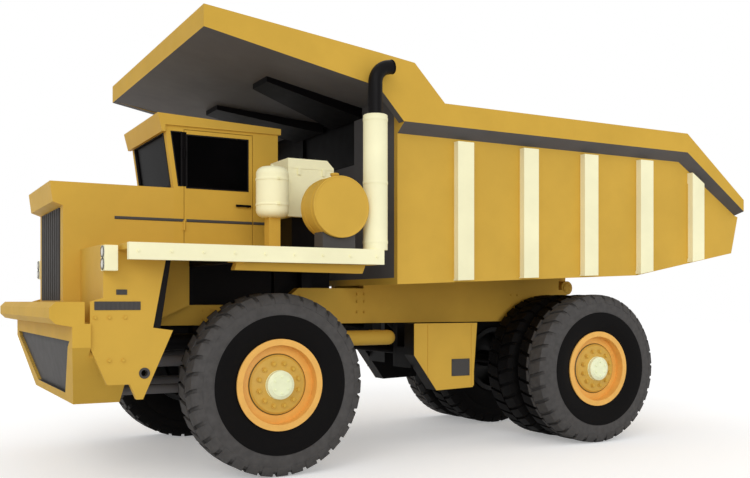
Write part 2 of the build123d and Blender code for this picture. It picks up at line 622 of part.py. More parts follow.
SEAT_X = f(-60)
SEAT_HALF = 250
SEAT_H = 330
SEAT_FOOT_HALF = 200
SEAT_FOOT_HALF_L = 180
CUSHION_T = 120
BACK_H = 650
BACK_TOP_HALF = 50
cab_floor = CAB_Z0 + CAB_WALL
seat = block(SEAT_X - SEAT_FOOT_HALF_L, SEAT_X + SEAT_FOOT_HALF_L, -SEAT_FOOT_HALF, SEAT_FOOT_HALF,
             cab_floor, cab_floor + SEAT_H)
seat += block(SEAT_X - SEAT_HALF, SEAT_X + SEAT_HALF, -SEAT_HALF, SEAT_HALF, cab_floor + SEAT_H,
              cab_floor + SEAT_H + CUSHION_T)
back_z = cab_floor + SEAT_H + CUSHION_T / 2
back_x = SEAT_X - SEAT_HALF
seat += side_prism([(back_x, back_z), (back_x + CUSHION_T, back_z), (back_x + BACK_TOP_HALF, back_z + BACK_H),
                    (back_x - BACK_TOP_HALF, back_z + BACK_H)], -SEAT_HALF, SEAT_HALF)
save("cab_seat", seat)
COLUMN_LOW_Z = 350             # both over the cab's floor
COLUMN_HIGH_Z = 640
COLUMN_TOP_X = 480
COLUMN_R = 35
STEER_R = 200
STEER_RIM_R = 16
SPOKES = 3
SPOKE_W = 26
column_foot = (f(CAB_FRONT_X) - CAB_WALL, 0, cab_floor + COLUMN_LOW_Z)
column_top = (f(COLUMN_TOP_X), 0, cab_floor + COLUMN_HIGH_Z)
column = rod(column_foot, column_top, COLUMN_R)
wheel_plane = Plane(origin=column_top, z_dir=Vector(*column_top) - Vector(*column_foot))
column += wheel_plane * Torus(STEER_R, STEER_RIM_R)
spoke_bar = Pos(STEER_R / 2, 0, 0) * Box(STEER_R, SPOKE_W, STEER_RIM_R)
for spoke in range(SPOKES):
    column += wheel_plane * Rot(0, 0, 360 / SPOKES * spoke) * spoke_bar
cab_space = block(f(CAB_REAR_X), f(CAB_FRONT_X) - CAB_WALL, -CAB_HALF, CAB_HALF, CAB_Z0, CAB_TOP_Z)
save("steering_wheel", column & cab_space)

# ---- doors: the pane sits in its own hole, hinges run up the front edge ---------------------------
door = block(f(DOOR_X0), f(DOOR_X1), CAB_HALF - CAB_WALL, CAB_HALF, DOOR_Z0, DOOR_Z1)
window = (f(DOOR_X0 + WINDOW_RIM), f(DOOR_X1 - WINDOW_STILE), CAB_SILL_Z + WINDOW_FOOT, DOOR_Z1 - WINDOW_RIM)
door -= block(window[0], window[1], CAB_HALF - CAB_WALL, CAB_HALF, window[2], window[3])
for z in HINGE_HEIGHTS:
    door += hinge_knuckle(z - HINGE_H / 2, z + HINGE_H / 2, HINGE_X - HINGE_LEAF_L)
save_sides("door", door)
glass_y = CAB_HALF - CAB_WALL / 2
door_pane = block(window[0], window[1], glass_y - GLASS_T / 2, glass_y + GLASS_T / 2, window[2], window[3])
save_sides("door_glass", door_pane)

# ---- front axle: a beam with kingpins, carried by two strut cylinders -----------------------------
BEAM_HALF_L = 120
BEAM_HALF_H = 110
KING_BOSS_R = 110
KING_BOSS_HALF = 230
KINGPIN_R = 55
KNUCKLE_T = 70
EAR_GAP = 6                    # boss to each ear of the knuckle
BORE_REACH = 600               # longer than the ears that the kingpin's bore goes through
pin_half = KING_BOSS_HALF + EAR_GAP + KNUCKLE_T
front_beam = block(f(-BEAM_HALF_L), f(BEAM_HALF_L), -KINGPIN_Y, KINGPIN_Y,
                   AXLE_Z - BEAM_HALF_H, AXLE_Z + BEAM_HALF_H)
for side, sign in SIDES:
    boss_y = sign * KINGPIN_Y
    front_beam += rod((f(0), boss_y, AXLE_Z - KING_BOSS_HALF), (f(0), boss_y, AXLE_Z + KING_BOSS_HALF),
                      KING_BOSS_R)
    front_beam += rod((f(0), boss_y, AXLE_Z - pin_half), (f(0), boss_y, AXLE_Z + pin_half), KINGPIN_R)
save("front_axle", front_beam)

STRUT_L = 330                  # a front strut's outer tube, down from the rail
STRUT_LAP = 70                 # and its rod's end inside it
STRUT_WALL = 20
REAR_STRUT_X = -330
REAR_STRUT_R = 90
REAR_STRUT_HANG = 270          # the tube hangs this far below the rail
REAR_STRUT_IN = 150            # and ends this far below the rail's top
REAR_STRUT_LAP = 100
REAR_SEAT_HALF = 60            # the block on the axle that carries it
REAR_SEAT_L = 110
REAR_TUBE_R = 200
strut = rod((f(0), STRUT_Y, AXLE_Z + BEAM_HALF_H), (f(0), STRUT_Y, RAIL_Z0 - STRUT_L + STRUT_LAP),
            STRUT_R - STRUT_WALL)
strut += rod((f(0), STRUT_Y, RAIL_Z0 - STRUT_L), (f(0), STRUT_Y, RAIL_Z0), STRUT_R)
rear_strut_y = (RAIL_IN_Y + RAIL_OUT_Y) / 2
tube_foot_z = RAIL_Z0 - REAR_STRUT_HANG


def rear_bar(z0, z1, radius):
    return rod((r(REAR_STRUT_X), rear_strut_y, z0), (r(REAR_STRUT_X), rear_strut_y, z1), radius)


rear_strut = rear_bar(AXLE_Z + REAR_SEAT_HALF, tube_foot_z + REAR_STRUT_LAP, REAR_STRUT_R - STRUT_WALL)
rear_strut += rear_bar(tube_foot_z, RAIL_Z1 - REAR_STRUT_IN, REAR_STRUT_R)
rear_strut -= rail
save("suspension_struts", strut, mirrored(strut), rear_strut, mirrored(rear_strut))

# ---- knuckles: two ears round the beam's boss, a web outside it and the wheel's spindle -----------
ear_low = AXLE_Z - KING_BOSS_HALF - EAR_GAP
ear_high = AXLE_Z + KING_BOSS_HALF + EAR_GAP
EAR_R = KING_BOSS_R - 5
WEB_GAP = 12
WEB_Y = KINGPIN_Y + KING_BOSS_R + WEB_GAP
WEB_T = 50
WEB_HALF_L = 150
SPINDLE_PAST = 190             # spindle's end beyond the tyre's middle
SPINDLE_END = FRONT_TRACK_HALF + SPINDLE_PAST


def knuckle_ear(z0):
    ear = rod((f(0), KINGPIN_Y, z0), (f(0), KINGPIN_Y, z0 + KNUCKLE_T), EAR_R)
    ear += block(f(-EAR_R), f(EAR_R), KINGPIN_Y, WEB_Y + WEB_T, z0, z0 + KNUCKLE_T)
    return ear


knuckle = knuckle_ear(ear_low - KNUCKLE_T) + knuckle_ear(ear_high)
knuckle += block(f(-WEB_HALF_L), f(WEB_HALF_L), WEB_Y, WEB_Y + WEB_T, ear_low - KNUCKLE_T, ear_high + KNUCKLE_T)
knuckle += cross_rod(f(0), AXLE_Z, WEB_Y, SPINDLE_END, SPINDLE_R)
kingpin_bore = rod((f(0), KINGPIN_Y, AXLE_Z - BORE_REACH), (f(0), KINGPIN_Y, AXLE_Z + BORE_REACH),
                   KINGPIN_R + RUN)
knuckle -= kingpin_bore
ARM_Z0 = ear_low - KNUCKLE_T
ARM_T = 50
ARM_W = 110
ROD_PIN_R = 30
ROD_PIN_L = 90
arm = block(f(-STEER_ARM), f(0), KINGPIN_Y - ARM_W / 2, KINGPIN_Y + ARM_W / 2, ARM_Z0, ARM_Z0 + ARM_T)
arm += rod((f(-STEER_ARM), KINGPIN_Y, ARM_Z0), (f(-STEER_ARM), KINGPIN_Y, ARM_Z0 + ARM_T), ARM_W / 2)
arm += rod((f(-STEER_ARM), KINGPIN_Y, ARM_Z0 - ROD_PIN_L), (f(-STEER_ARM), KINGPIN_Y, ARM_Z0), ROD_PIN_R)
arm -= kingpin_bore
save_sides("knuckle", knuckle + arm)

# ---- tie rod: an eye on each arm's pin, the right one with open clearance --------------------------
EYE_T = 60
EYE_RIM = 30
EYE_DROP = 15                  # eye below the arm
TIE_R = 25
OPEN_PIVOT = 6
rod_z = ARM_Z0 - EYE_DROP - EYE_T / 2
eye_left = rod((f(-STEER_ARM), KINGPIN_Y, rod_z - EYE_T / 2), (f(-STEER_ARM), KINGPIN_Y, rod_z + EYE_T / 2),
               ROD_PIN_R + EYE_RIM)
tie_rod = eye_left + mirrored(eye_left)
tie_rod += rod((f(-STEER_ARM), -KINGPIN_Y, rod_z), (f(-STEER_ARM), KINGPIN_Y, rod_z), TIE_R)
for pin_y, bore_r in [(KINGPIN_Y, ROD_PIN_R + RUN), (-KINGPIN_Y, ROD_PIN_R + OPEN_PIVOT)]:
    tie_rod -= rod((f(-STEER_ARM), pin_y, rod_z - EYE_T), (f(-STEER_ARM), pin_y, rod_z + EYE_T), bore_r)
save("tie_rod", tie_rod)


# ---- wheels ----------------------------------------------------------------------------------------
def turned(x, y, points):
    """A body turned about a line along Y through (x, axle height); points are (radius, offset)."""
    face = Face(Wire.make_polygon([(x + radius, y + offset, AXLE_Z) for radius, offset in points]))
    return revolve(face, axis=Axis((x, y, AXLE_Z), (0, 1, 0)), revolution_arc=360)


SHOULDER_IN = 65               # the flat tread stops short of the tyre's full width
SHOULDER_FALL = 45             # and the shoulder drops this much
SHOULDER_SIDE_IN = 20
TREAD_HALF = TYRE_W / 2 - SHOULDER_IN
SHOULDER_R = TYRE_R - SHOULDER_FALL
FLANGE_H = 35
FLANGE_R = BEAD_R + FLANGE_H
RIM_T = 35
HEEL_RISE = 45
HEEL_R = FLANGE_R + HEEL_RISE  # where the tyre's side starts to bulge
HEEL_IN = 40                   # how far in from the tyre's full width it lies there
BEAD_IN = 75                   # and at the bead
LIP_IN = BEAD_IN - (BEAD_IN - HEEL_IN) * (FLANGE_R - BEAD_R) / (HEEL_R - BEAD_R)


def tyre(x, y):
    half = TYRE_W / 2
    bulge_r = (HEEL_R + SHOULDER_R) / 2

    def at(radius, offset):
        return (x + radius, y + offset, AXLE_Z)

    shoulder = half - SHOULDER_SIDE_IN
    section = Polyline(at(BEAD_R, BEAD_IN - half), at(HEEL_R, HEEL_IN - half))
    section += ThreePointArc(at(HEEL_R, HEEL_IN - half), at(bulge_r, -half), at(SHOULDER_R, -shoulder))
    section += Polyline(at(SHOULDER_R, -shoulder), at(TYRE_R, -TREAD_HALF), at(TYRE_R, TREAD_HALF),
                        at(SHOULDER_R, shoulder))
    section += ThreePointArc(at(SHOULDER_R, shoulder), at(bulge_r, half), at(HEEL_R, half - HEEL_IN))
    section += Polyline(at(HEEL_R, half - HEEL_IN), at(BEAD_R, half - BEAD_IN), at(BEAD_R, BEAD_IN - half))
    return revolve(make_face(section), axis=Axis((x, y, AXLE_Z), (0, 1, 0)), revolution_arc=360)


HUB_CAP_R = 160
HUB_FACE_IN = 80               # hub's face, in from the tyre's full width
HUB_LIP = 10                   # it is this much wider than its cap
CAP_EDGE_IN = 30               # the cap's bevel, from here
CAP_FACE_IN = 5                # to its face
CAP_FACE_R = 120
HUB_R = 230
HUB_BACK = 40                  # hub's back, in from the tyre's middle
DISC_ROOT_R = 250
DISC_ROOT_BACK = 50            # the disc's back, out from the tyre's middle, at its root
DISC_BACK = 70                 # and at the rim
DISC_OUT = 130                 # its outer face there
DISC_RISE = 20                 # the face steps out to a ring
DISC_R = 355
RING_W = 40                    # that slopes out to the hub
RING_IN = 110


def hub_cap(x, y):
    """The round cap over the wheel's hub."""
    half = TYRE_W / 2
    return turned(x, y, [
        (0, half - HUB_FACE_IN), (HUB_CAP_R, half - HUB_FACE_IN), (HUB_CAP_R, half - CAP_EDGE_IN),
        (CAP_FACE_R, half - CAP_FACE_IN), (0, half - CAP_FACE_IN)])


def rim(x, y, bore_r, disc):
    """Rim base with its flanges, and the disc and hub that carry it if disc is true."""
    half = TYRE_W / 2
    base = turned(x, y, [
        (BEAD_R - RIM_T, HEEL_IN - half), (FLANGE_R, HEEL_IN - half), (FLANGE_R, LIP_IN - half),
        (BEAD_R, BEAD_IN - half), (BEAD_R, half - BEAD_IN), (FLANGE_R, half - LIP_IN),
        (FLANGE_R, half - HEEL_IN), (BEAD_R - RIM_T, half - HEEL_IN)])
    if disc:
        base += turned(x, y, [
            (bore_r, -HUB_BACK), (HUB_R, -HUB_BACK), (DISC_ROOT_R, DISC_ROOT_BACK),
            (BEAD_R - RIM_T, DISC_BACK), (BEAD_R - RIM_T, DISC_OUT), (DISC_R, DISC_OUT + DISC_RISE),
            (DISC_R - RING_W, half - RING_IN), (HUB_CAP_R + HUB_LIP, half - HUB_FACE_IN),
            (bore_r, half - HUB_FACE_IN)])
    return base


front_x = f(0)
HUB_RUN = SPINDLE_R + RUN
front_rim = rim(front_x, FRONT_TRACK_HALF, HUB_RUN, True)
save_sides("front_rim", front_rim + hub_cap(front_x, FRONT_TRACK_HALF))
save_sides("front_tyre", tyre(front_x, FRONT_TRACK_HALF))

rear_x = r(0)
REAR_HUB_RUN = REAR_SPINDLE_R + RUN
SPACER_T = 25                  # band between the two rear rims, and how far it laps each
SPACER_LAP = 40
INNER_HUB_R = 200              # the inner rim's own hub and disc, out from its middle
INNER_HUB_Y0 = 90
INNER_HUB_Y1 = 170
INNER_DISC_Y0 = 110
INNER_DISC_Y1 = 150
rim_in_r = BEAD_R - RIM_T
spacer_back = DUAL_INNER_Y - DUAL_OUTER_Y - SPACER_LAP
rear_rim = rim(rear_x, DUAL_OUTER_Y, REAR_HUB_RUN, True) + rim(rear_x, DUAL_INNER_Y, REAR_HUB_RUN, False)
rear_rim += turned(rear_x, DUAL_OUTER_Y, [
    (rim_in_r, spacer_back), (rim_in_r + SPACER_T, spacer_back), (rim_in_r + SPACER_T, SPACER_LAP),
    (rim_in_r, SPACER_LAP)])
rear_rim += turned(rear_x, DUAL_INNER_Y, [
    (REAR_HUB_RUN, INNER_HUB_Y0), (INNER_HUB_R, INNER_HUB_Y0), (rim_in_r, INNER_DISC_Y0),
    (rim_in_r, INNER_DISC_Y1), (INNER_HUB_R, INNER_HUB_Y1), (REAR_HUB_RUN, INNER_HUB_Y1)])
rear_rim += hub_cap(rear_x, DUAL_OUTER_Y)
save_sides("rear_rims", rear_rim)
duals = Compound(children=[tyre(rear_x, DUAL_OUTER_Y), tyre(rear_x, DUAL_INNER_Y)])
save_sides("rear_tyres", duals)

# ---- rear axle: differential housing, tubes and spindles, with a nose to the drive shaft ------------
AXLE_NOSE_X = 480
AXLE_NOSE_RISE = 60
AXLE_NOSE_R = 130
DIFF_R = 360
REAR_SPINDLE_SHORT = 90        # spindles end this far inside the tyres' width
rear_axle = cross_rod(r(0), AXLE_Z, -DUAL_INNER_Y, DUAL_INNER_Y, REAR_SPINDLE_R)
rear_axle += cross_rod(r(0), AXLE_Z, -RAIL_OUT_Y, RAIL_OUT_Y, REAR_TUBE_R)
rear_axle += Pos(r(0), 0, AXLE_Z) * Sphere(DIFF_R)
rear_axle += rod((r(DIFF_R / 2), 0, AXLE_Z), (r(AXLE_NOSE_X), 0, AXLE_Z + AXLE_NOSE_RISE), AXLE_NOSE_R)
spindle_reach = DUAL_OUTER_Y + TYRE_W / 2 - REAR_SPINDLE_SHORT
rear_axle += cross_rod(r(0), AXLE_Z, -spindle_reach, spindle_reach, REAR_SPINDLE_R)
strut_seat = block(r(REAR_STRUT_X - REAR_SEAT_L), r(0), rear_strut_y - REAR_SEAT_HALF,
                   rear_strut_y + REAR_SEAT_HALF, AXLE_Z - REAR_SEAT_HALF, AXLE_Z + REAR_SEAT_HALF)
rear_axle += strut_seat + mirrored(strut_seat)
save("rear_axle", rear_axle)
shaft_rear = (r(AXLE_NOSE_X - SHAFT_IN), 0, AXLE_Z + AXLE_NOSE_RISE / 2)
shaft = rod((f(GEARBOX_X0 + SHAFT_IN), 0, SHAFT_FRONT_Z), shaft_rear, SHAFT_R)
save("drive_shaft", shaft - gearbox - rear_axle)

# ---- side tanks hung from the rails ahead of the rear wheels, and the side tubes -------------------
hanger_y = (RAIL_IN_Y + HANGER_EDGE_IN, RAIL_OUT_Y - HANGER_EDGE_IN)


def side_tank(front):
    """The left tank and its hanger, with the tank's front edge at the given X."""
    foot_front = front - SIDE_TANK_RAKE
    tank_body = side_prism([
        (front, RAIL_Z0), (front, SIDE_TANK_SHOULDER_Z), (foot_front, SIDE_TANK_LOW_Z),
        (foot_front - SIDE_TANK_FOOT_L, SIDE_TANK_LOW_Z + SIDE_TANK_HEEL_RISE),
        (front - SIDE_TANK_TOP_L, RAIL_Z0)], SIDE_TANK_Y0, SIDE_TANK_Y1)
    hanger_x = front - HANGER_IN
    tank_body += block(hanger_x - HANGER_L, hanger_x, hanger_y[0], SIDE_TANK_Y0, HANGER_Z - HANGER_H / 2,
                       HANGER_Z + HANGER_H / 2)
    tank_body += block(hanger_x - HANGER_L, hanger_x, *hanger_y, HANGER_Z + HANGER_H / 2, RAIL_Z0)
    return tank_body


tank_front = r(SIDE_TANK_FRONT_X)
save("side_tanks", side_tank(tank_front), mirrored(side_tank(tank_front - SIDE_TANK_STAGGER)))
STRUT_CLEAR = 320              # tubes stop short of the front struts' outriggers
TUBE_TANK_GAP = 130
TUBE_FRONT_GAP = 60
TUBE_RUNS = [(SIDE_TANK_FRONT_X - WHEELBASE + TUBE_TANK_GAP, -STRUT_CLEAR),
             (STRUT_CLEAR, BUMPER_REAR_X - TUBE_FRONT_GAP)]
BRACKET_L = 120
BRACKET_IN = 40                # bracket's inner face, out from the rail's
BRACKET_DROP = 60              # its foot below the tube's line
tubes = []
for x0, x1 in TUBE_RUNS:
    tube = rod((f(x0), TUBE_Y, TUBE_Z), (f(x1), TUBE_Y, TUBE_Z), TUBE_R)
    tube += Pos(f(x0), TUBE_Y, TUBE_Z) * Sphere(TUBE_R)
    for bracket_x in (x0 + BRACKET_L, x1 - 2 * BRACKET_L):
        tube += block(f(bracket_x), f(bracket_x) + BRACKET_L, RAIL_IN_Y + BRACKET_IN, TUBE_Y,
                      TUBE_Z - BRACKET_DROP, RAIL_Z0)
    tubes.append(tube)
save("side_tubes", *tubes, *[mirrored(tube) for tube in tubes])

# ---- dump body: floor, side panels, front wall, top rails, ribs and canopy ---------------------------
BODY_FRONT = r(BODY_FRONT_X)
TAIL_TOP = r(-TAIL_OVERHANG)
TAIL_LOW = TAIL_TOP + TAIL_LOW_BACK
belly = [(BODY_FRONT, BODY_FRONT_Z), (r(FLOOR_KNEE_X), FLOOR_KNEE_Z), (TAIL_LOW, TAIL_LOW_Z)]
inner_half = BODY_HALF - PLATE
floor_outline = belly + [(x, z + PLATE) for x, z in reversed(belly)]
floor = side_prism(floor_outline, -inner_half, inner_half)
RUNNER_Z0 = RAIL_Z1 + SEAT
knee_run = (BODY_FRONT_X - FLOOR_KNEE_X)


def belly_z(x):
    """Underside of the floor ahead of its knee, at a station from the rear axle."""
    return FLOOR_KNEE_Z + (BODY_FRONT_Z - FLOOR_KNEE_Z) * (x - FLOOR_KNEE_X) / knee_run


RUNNER_REAR_GAP = 60           # runners end this far ahead of the hinge lugs
RUNNER_FRONT_IN = 310          # and this far behind the front wall
RUNNER_X0 = PIVOT_X + LUG_R + RUNNER_REAR_GAP
RUNNER_X1 = BODY_FRONT_X - RUNNER_FRONT_IN
runner = side_prism([(r(RUNNER_X1), RUNNER_Z0), (r(RUNNER_X0), RUNNER_Z0), (r(RUNNER_X0), belly_z(RUNNER_X0)),
                     (r(RUNNER_X1), belly_z(RUNNER_X1))], RAIL_IN_Y, RAIL_OUT_Y)
HINGE_LUG_GAP = 10             # rail to lug
HINGE_LUG_T = 90
LUG_FORE = 80                  # the lug's root spreads ahead
LUG_AFT = 10                   # and behind
LUG_SINK = 20                  # and runs up into the floor
HINGE_LUG_Y1 = RAIL_IN_Y - HINGE_LUG_GAP
HINGE_LUG_Y0 = HINGE_LUG_Y1 - HINGE_LUG_T
lug_fore_x = PIVOT_X + LUG_R + LUG_FORE
hinge_lug = cross_rod(r(PIVOT_X), PIVOT_Z, HINGE_LUG_Y0, HINGE_LUG_Y1, LUG_R)
hinge_lug += side_prism([(r(PIVOT_X - LUG_R), PIVOT_Z), (r(PIVOT_X + LUG_R), PIVOT_Z),
                         (r(lug_fore_x), belly_z(lug_fore_x)), (r(FLOOR_KNEE_X), FLOOR_KNEE_Z),
                         (r(PIVOT_X - LUG_R - LUG_AFT), FLOOR_KNEE_Z + LUG_SINK)], HINGE_LUG_Y0, HINGE_LUG_Y1)
hinge_lug -= cross_rod(r(PIVOT_X), PIVOT_Z, HINGE_LUG_Y0, HINGE_LUG_Y1, PIVOT_R + RUN)
HEAD_EAR_R = 95
HEAD_EAR_T = 60
HOIST_EYE_HALF = 90            # half the length of a hoist's upper eye
HEAD_EAR_Y1 = HOIST_Y - HOIST_EYE_HALF
HEAD_EAR_Y0 = HEAD_EAR_Y1 - HEAD_EAR_T
EAR_SPREAD = 25                # the ear is this much wider at its root
ear_root = HEAD_EAR_R + EAR_SPREAD
head_ear = cross_rod(r(HOIST_HEAD_X), HOIST_HEAD_Z, HEAD_EAR_Y0, HEAD_EAR_Y1, HEAD_EAR_R)
head_ear += side_prism([(r(HOIST_HEAD_X - HEAD_EAR_R), HOIST_HEAD_Z),
                        (r(HOIST_HEAD_X + HEAD_EAR_R), HOIST_HEAD_Z),
                        (r(HOIST_HEAD_X + ear_root), belly_z(HOIST_HEAD_X + ear_root)),
                        (r(HOIST_HEAD_X - ear_root), belly_z(HOIST_HEAD_X - ear_root))],
                       HEAD_EAR_Y0, HEAD_EAR_Y1)
fittings = runner + hinge_lug + head_ear
save("body_floor", floor + fittings + mirrored(fittings))

side_panel = side_prism(belly + [
    (TAIL_TOP, TAIL_TOP_Z), (r(TOPRAIL_TIP_X), TOPRAIL_TIP_Z0 - TIP_BAND),
    (r(TOPRAIL_END_X), TOPRAIL_Z0 - BAND), (BODY_FRONT, TOPRAIL_Z0 - BAND)], inner_half, BODY_HALF)
save_pair("body_sides", side_panel)


def rail_section(x, z0, z1, band):
    """Top rail across the truck: outer face from z0 to z1, underside sloping down to the side panel."""
    return Face(Wire.make_polygon([(x, BODY_HALF, z0 - band), (x, RAIL_HALF, z0), (x, RAIL_HALF, z1),
                                   (x, inner_half, z1), (x, inner_half, z0 - band)]))


rail_sections = [
    rail_section(BODY_FRONT, TOPRAIL_Z0, TOPRAIL_Z1, BAND),
    rail_section(r(TOPRAIL_END_X), TOPRAIL_Z0, TOPRAIL_Z1, BAND),
    rail_section(r(TOPRAIL_TIP_X), TOPRAIL_TIP_Z0, TOPRAIL_TIP_Z1, TIP_BAND),
]
top_rail = loft(rail_sections[:2], ruled=True) + loft(rail_sections[1:], ruled=True)
KICK_NOSE_L = 340
KICK_NOSE_RISE = 40
EDGE_ROOT_L = 480
EDGE_ROOT_RISE = 60
kick_nose = (r(KICK_LOW_X) + KICK_NOSE_L, CANOPY_REAR_Z0 + KICK_NOSE_RISE)
edge_root = (r(CANOPY_REAR_X) + EDGE_ROOT_L, CANOPY_REAR_Z1 + EDGE_ROOT_RISE)
kick = side_prism([
    (r(KICK_LOW_X), TOPRAIL_Z0), (r(KICK_TOP_X), TOPRAIL_Z0), (r(KICK_TOP_X), TOPRAIL_Z1),
    (r(CANOPY_REAR_X), CANOPY_REAR_Z1), edge_root, kick_nose], RAIL_HALF - CANOPY_EDGE, RAIL_HALF)
save_pair("body_rails", top_rail + kick)


def belly_at(x):
    """Underside of the floor at any station from the rear axle."""
    if x > FLOOR_KNEE_X:
        return belly_z(x)
    tail_run = FLOOR_KNEE_X - TAIL_LOW + AXLE_R_X
    return FLOOR_KNEE_Z + (TAIL_LOW_Z - FLOOR_KNEE_Z) * (FLOOR_KNEE_X - x) / tail_run


def panel_top(x):
    """Top of the side panel at any station from the rear axle."""
    run = max(0, TOPRAIL_END_X - x) / (TOPRAIL_END_X - TOPRAIL_TIP_X)
    return TOPRAIL_Z0 - BAND - run * (TOPRAIL_Z0 - BAND - TOPRAIL_TIP_Z0 + TIP_BAND)


RIB_LOW_GAP = 20
RIB_HIGH_GAP = 40
rib_first_x = BODY_FRONT_X - RIB_FIRST_IN
rib_pitch = (rib_first_x - RIB_LAST_X) / (RIB_COUNT - 1)
ribs = []
for i in range(RIB_COUNT):
    front_x = rib_first_x - i * rib_pitch + RIB_W / 2
    back_x = front_x - RIB_W
    ribs.append(side_prism(
        [(r(front_x), belly_at(front_x) + RIB_LOW_GAP), (r(back_x), belly_at(back_x) + RIB_LOW_GAP),
         (r(back_x), panel_top(back_x) - RIB_HIGH_GAP), (r(front_x), panel_top(front_x) - RIB_HIGH_GAP)],
        BODY_HALF, BODY_HALF + RIB_T))
save("body_ribs", *ribs, *[mirrored(rib) for rib in ribs])

# ---- canopy over the cab, with its edge beams, and two tapered stiffeners beneath it ----------------
CANOPY_SLOPE = (CANOPY_FRONT_Z0 - CANOPY_REAR_Z0) / (CANOPY_FRONT_X - CANOPY_REAR_X)


def canopy_z(x):
    """Underside of the canopy at a station from the rear axle."""
    return CANOPY_REAR_Z0 + CANOPY_SLOPE * (x - CANOPY_REAR_X)


sheet_half = RAIL_HALF - CANOPY_EDGE
canopy = side_prism([
    (r(CANOPY_REAR_X), CANOPY_REAR_Z0), (r(CANOPY_FRONT_X), CANOPY_FRONT_Z0),
    (r(CANOPY_FRONT_X), CANOPY_FRONT_Z0 + CANOPY_T), (r(CANOPY_REAR_X), CANOPY_REAR_Z0 + CANOPY_T)],
    -sheet_half, sheet_half)
edge_outline = [kick_nose, (r(CANOPY_FRONT_X), CANOPY_FRONT_Z0), (r(CANOPY_FRONT_X), CANOPY_FRONT_Z1),
                edge_root]
canopy_edge = side_prism(edge_outline, sheet_half, RAIL_HALF)
canopy += canopy_edge + mirrored(canopy_edge)
NOSE_BEAM_RISE = 20            # the beam across the canopy's front starts this far above its underside
canopy += block(r(CANOPY_FRONT_X) - CANOPY_EDGE, r(CANOPY_FRONT_X), -sheet_half, sheet_half,
                CANOPY_FRONT_Z0 + NOSE_BEAM_RISE, CANOPY_FRONT_Z1)
save("body_canopy", canopy)

STIFF_H = 130
STIFF_FRONT_X = BODY_FRONT_X + 1360
STIFF_STEP_X = BODY_FRONT_X + 340
STIFF_TIP_Y = (690, 1150)
STIFF_ROOT_Y = (120, 1040)
STIFF_NOTCH = 180              # its inner edge steps out by this much ahead of the front wall
stiff_plan = [
    (r(STIFF_FRONT_X), STIFF_TIP_Y[0]), (r(STIFF_FRONT_X), STIFF_TIP_Y[1]), (BODY_FRONT, STIFF_ROOT_Y[1]),
    (BODY_FRONT, STIFF_ROOT_Y[0]), (r(STIFF_STEP_X), STIFF_ROOT_Y[0] + STIFF_NOTCH)]
stiffener = plan_prism(stiff_plan, CANOPY_REAR_Z0 - STIFF_H, CANOPY_FRONT_Z0)
stiffener &= side_prism([
    (BODY_FRONT, canopy_z(BODY_FRONT_X) - STIFF_H), (r(STIFF_FRONT_X), canopy_z(STIFF_FRONT_X) - STIFF_H / 2),
    (r(STIFF_FRONT_X), canopy_z(STIFF_FRONT_X)), (BODY_FRONT, canopy_z(BODY_FRONT_X))], 0, BODY_HALF)
save_pair("canopy_stiffeners", stiffener)

# ---- front wall of the body, set back between two broad corner posts --------------------------------
WALL_RECESS_HALF = 820
WALL_RECESS_Z0 = 3750
WALL_RECESS_DROP = 40          # its top below the canopy
WALL_FOOT_FALL = 4             # the floor's slope over the wall's thickness
front_wall = side_prism([
    (BODY_FRONT, BODY_FRONT_Z + PLATE), (BODY_FRONT, canopy_z(BODY_FRONT_X)),
    (BODY_FRONT - PLATE, canopy_z(BODY_FRONT_X - PLATE)),
    (BODY_FRONT - PLATE, BODY_FRONT_Z + PLATE + WALL_FOOT_FALL)],
    -inner_half, inner_half)
front_wall -= block(BODY_FRONT - PLATE / 2, BODY_FRONT, -WALL_RECESS_HALF, WALL_RECESS_HALF,
                    WALL_RECESS_Z0, canopy_z(BODY_FRONT_X) - WALL_RECESS_DROP)
wall_post = block(BODY_FRONT - PLATE, BODY_FRONT, inner_half, RAIL_HALF - CANOPY_EDGE, TOPRAIL_Z1,
                  canopy_z(BODY_FRONT_X - PLATE))
save("body_front_wall", front_wall + wall_post + mirrored(wall_post))

# ---- hoists: telescopic cylinders of two moving stages, drawn closed -------------------------------
foot = Vector(r(HOIST_FOOT_X), HOIST_Y, HOIST_FOOT_Z)
head = Vector(r(HOIST_HEAD_X), HOIST_Y, HOIST_HEAD_Z)
closed = (head - foot).length
line = Plane(origin=foot, z_dir=head - foot)


def stage(start, end, outer, inner):
    """A tube along the hoist's own line, closed at neither end."""
    upright = (Align.CENTER, Align.CENTER, Align.MIN)
    tube_body = line * Pos(0, 0, start) * Cylinder(outer, end - start, align=upright)
    if inner:
        tube_body -= line * Pos(0, 0, start - 1) * Cylinder(inner, end - start + 2, align=upright)
    return tube_body


STAGE_R = HOIST_R - HOIST_WALL
ROD_R = STAGE_R - HOIST_WALL - 5
HOIST_BASE_L = 150             # solid foot of the barrel
HOIST_BASE_R = HOIST_R - 15
FOOT_EYE_HALF = HOIST_R - 5
FOOT_EYE_R = HOIST_R - 10
BARREL_SHORT = 250             # ends of the barrel and of the inner stage, short of the head
STAGE_SHORT = 190
ROD_SHORT = 60
STAGE_START = 160
ROD_START = 170
HEAD_GAP = 8
HEAD_EYE_R = 90
barrel = stage(HOIST_BASE_L, closed - BARREL_SHORT, HOIST_R, STAGE_R + RUN)
barrel += stage(0, HOIST_BASE_L, HOIST_BASE_R, 0)
barrel += cross_rod(foot.X, foot.Z, HOIST_Y - FOOT_EYE_HALF, HOIST_Y + FOOT_EYE_HALF, FOOT_EYE_R)
barrel -= cross_rod(foot.X, foot.Z, HOIST_Y - HOIST_R, HOIST_Y + HOIST_R, HOIST_PIN_R + RUN)
save_sides("hoist_barrel", barrel)
save_sides("hoist_stage", stage(STAGE_START, closed - STAGE_SHORT, STAGE_R, ROD_R + RUN))
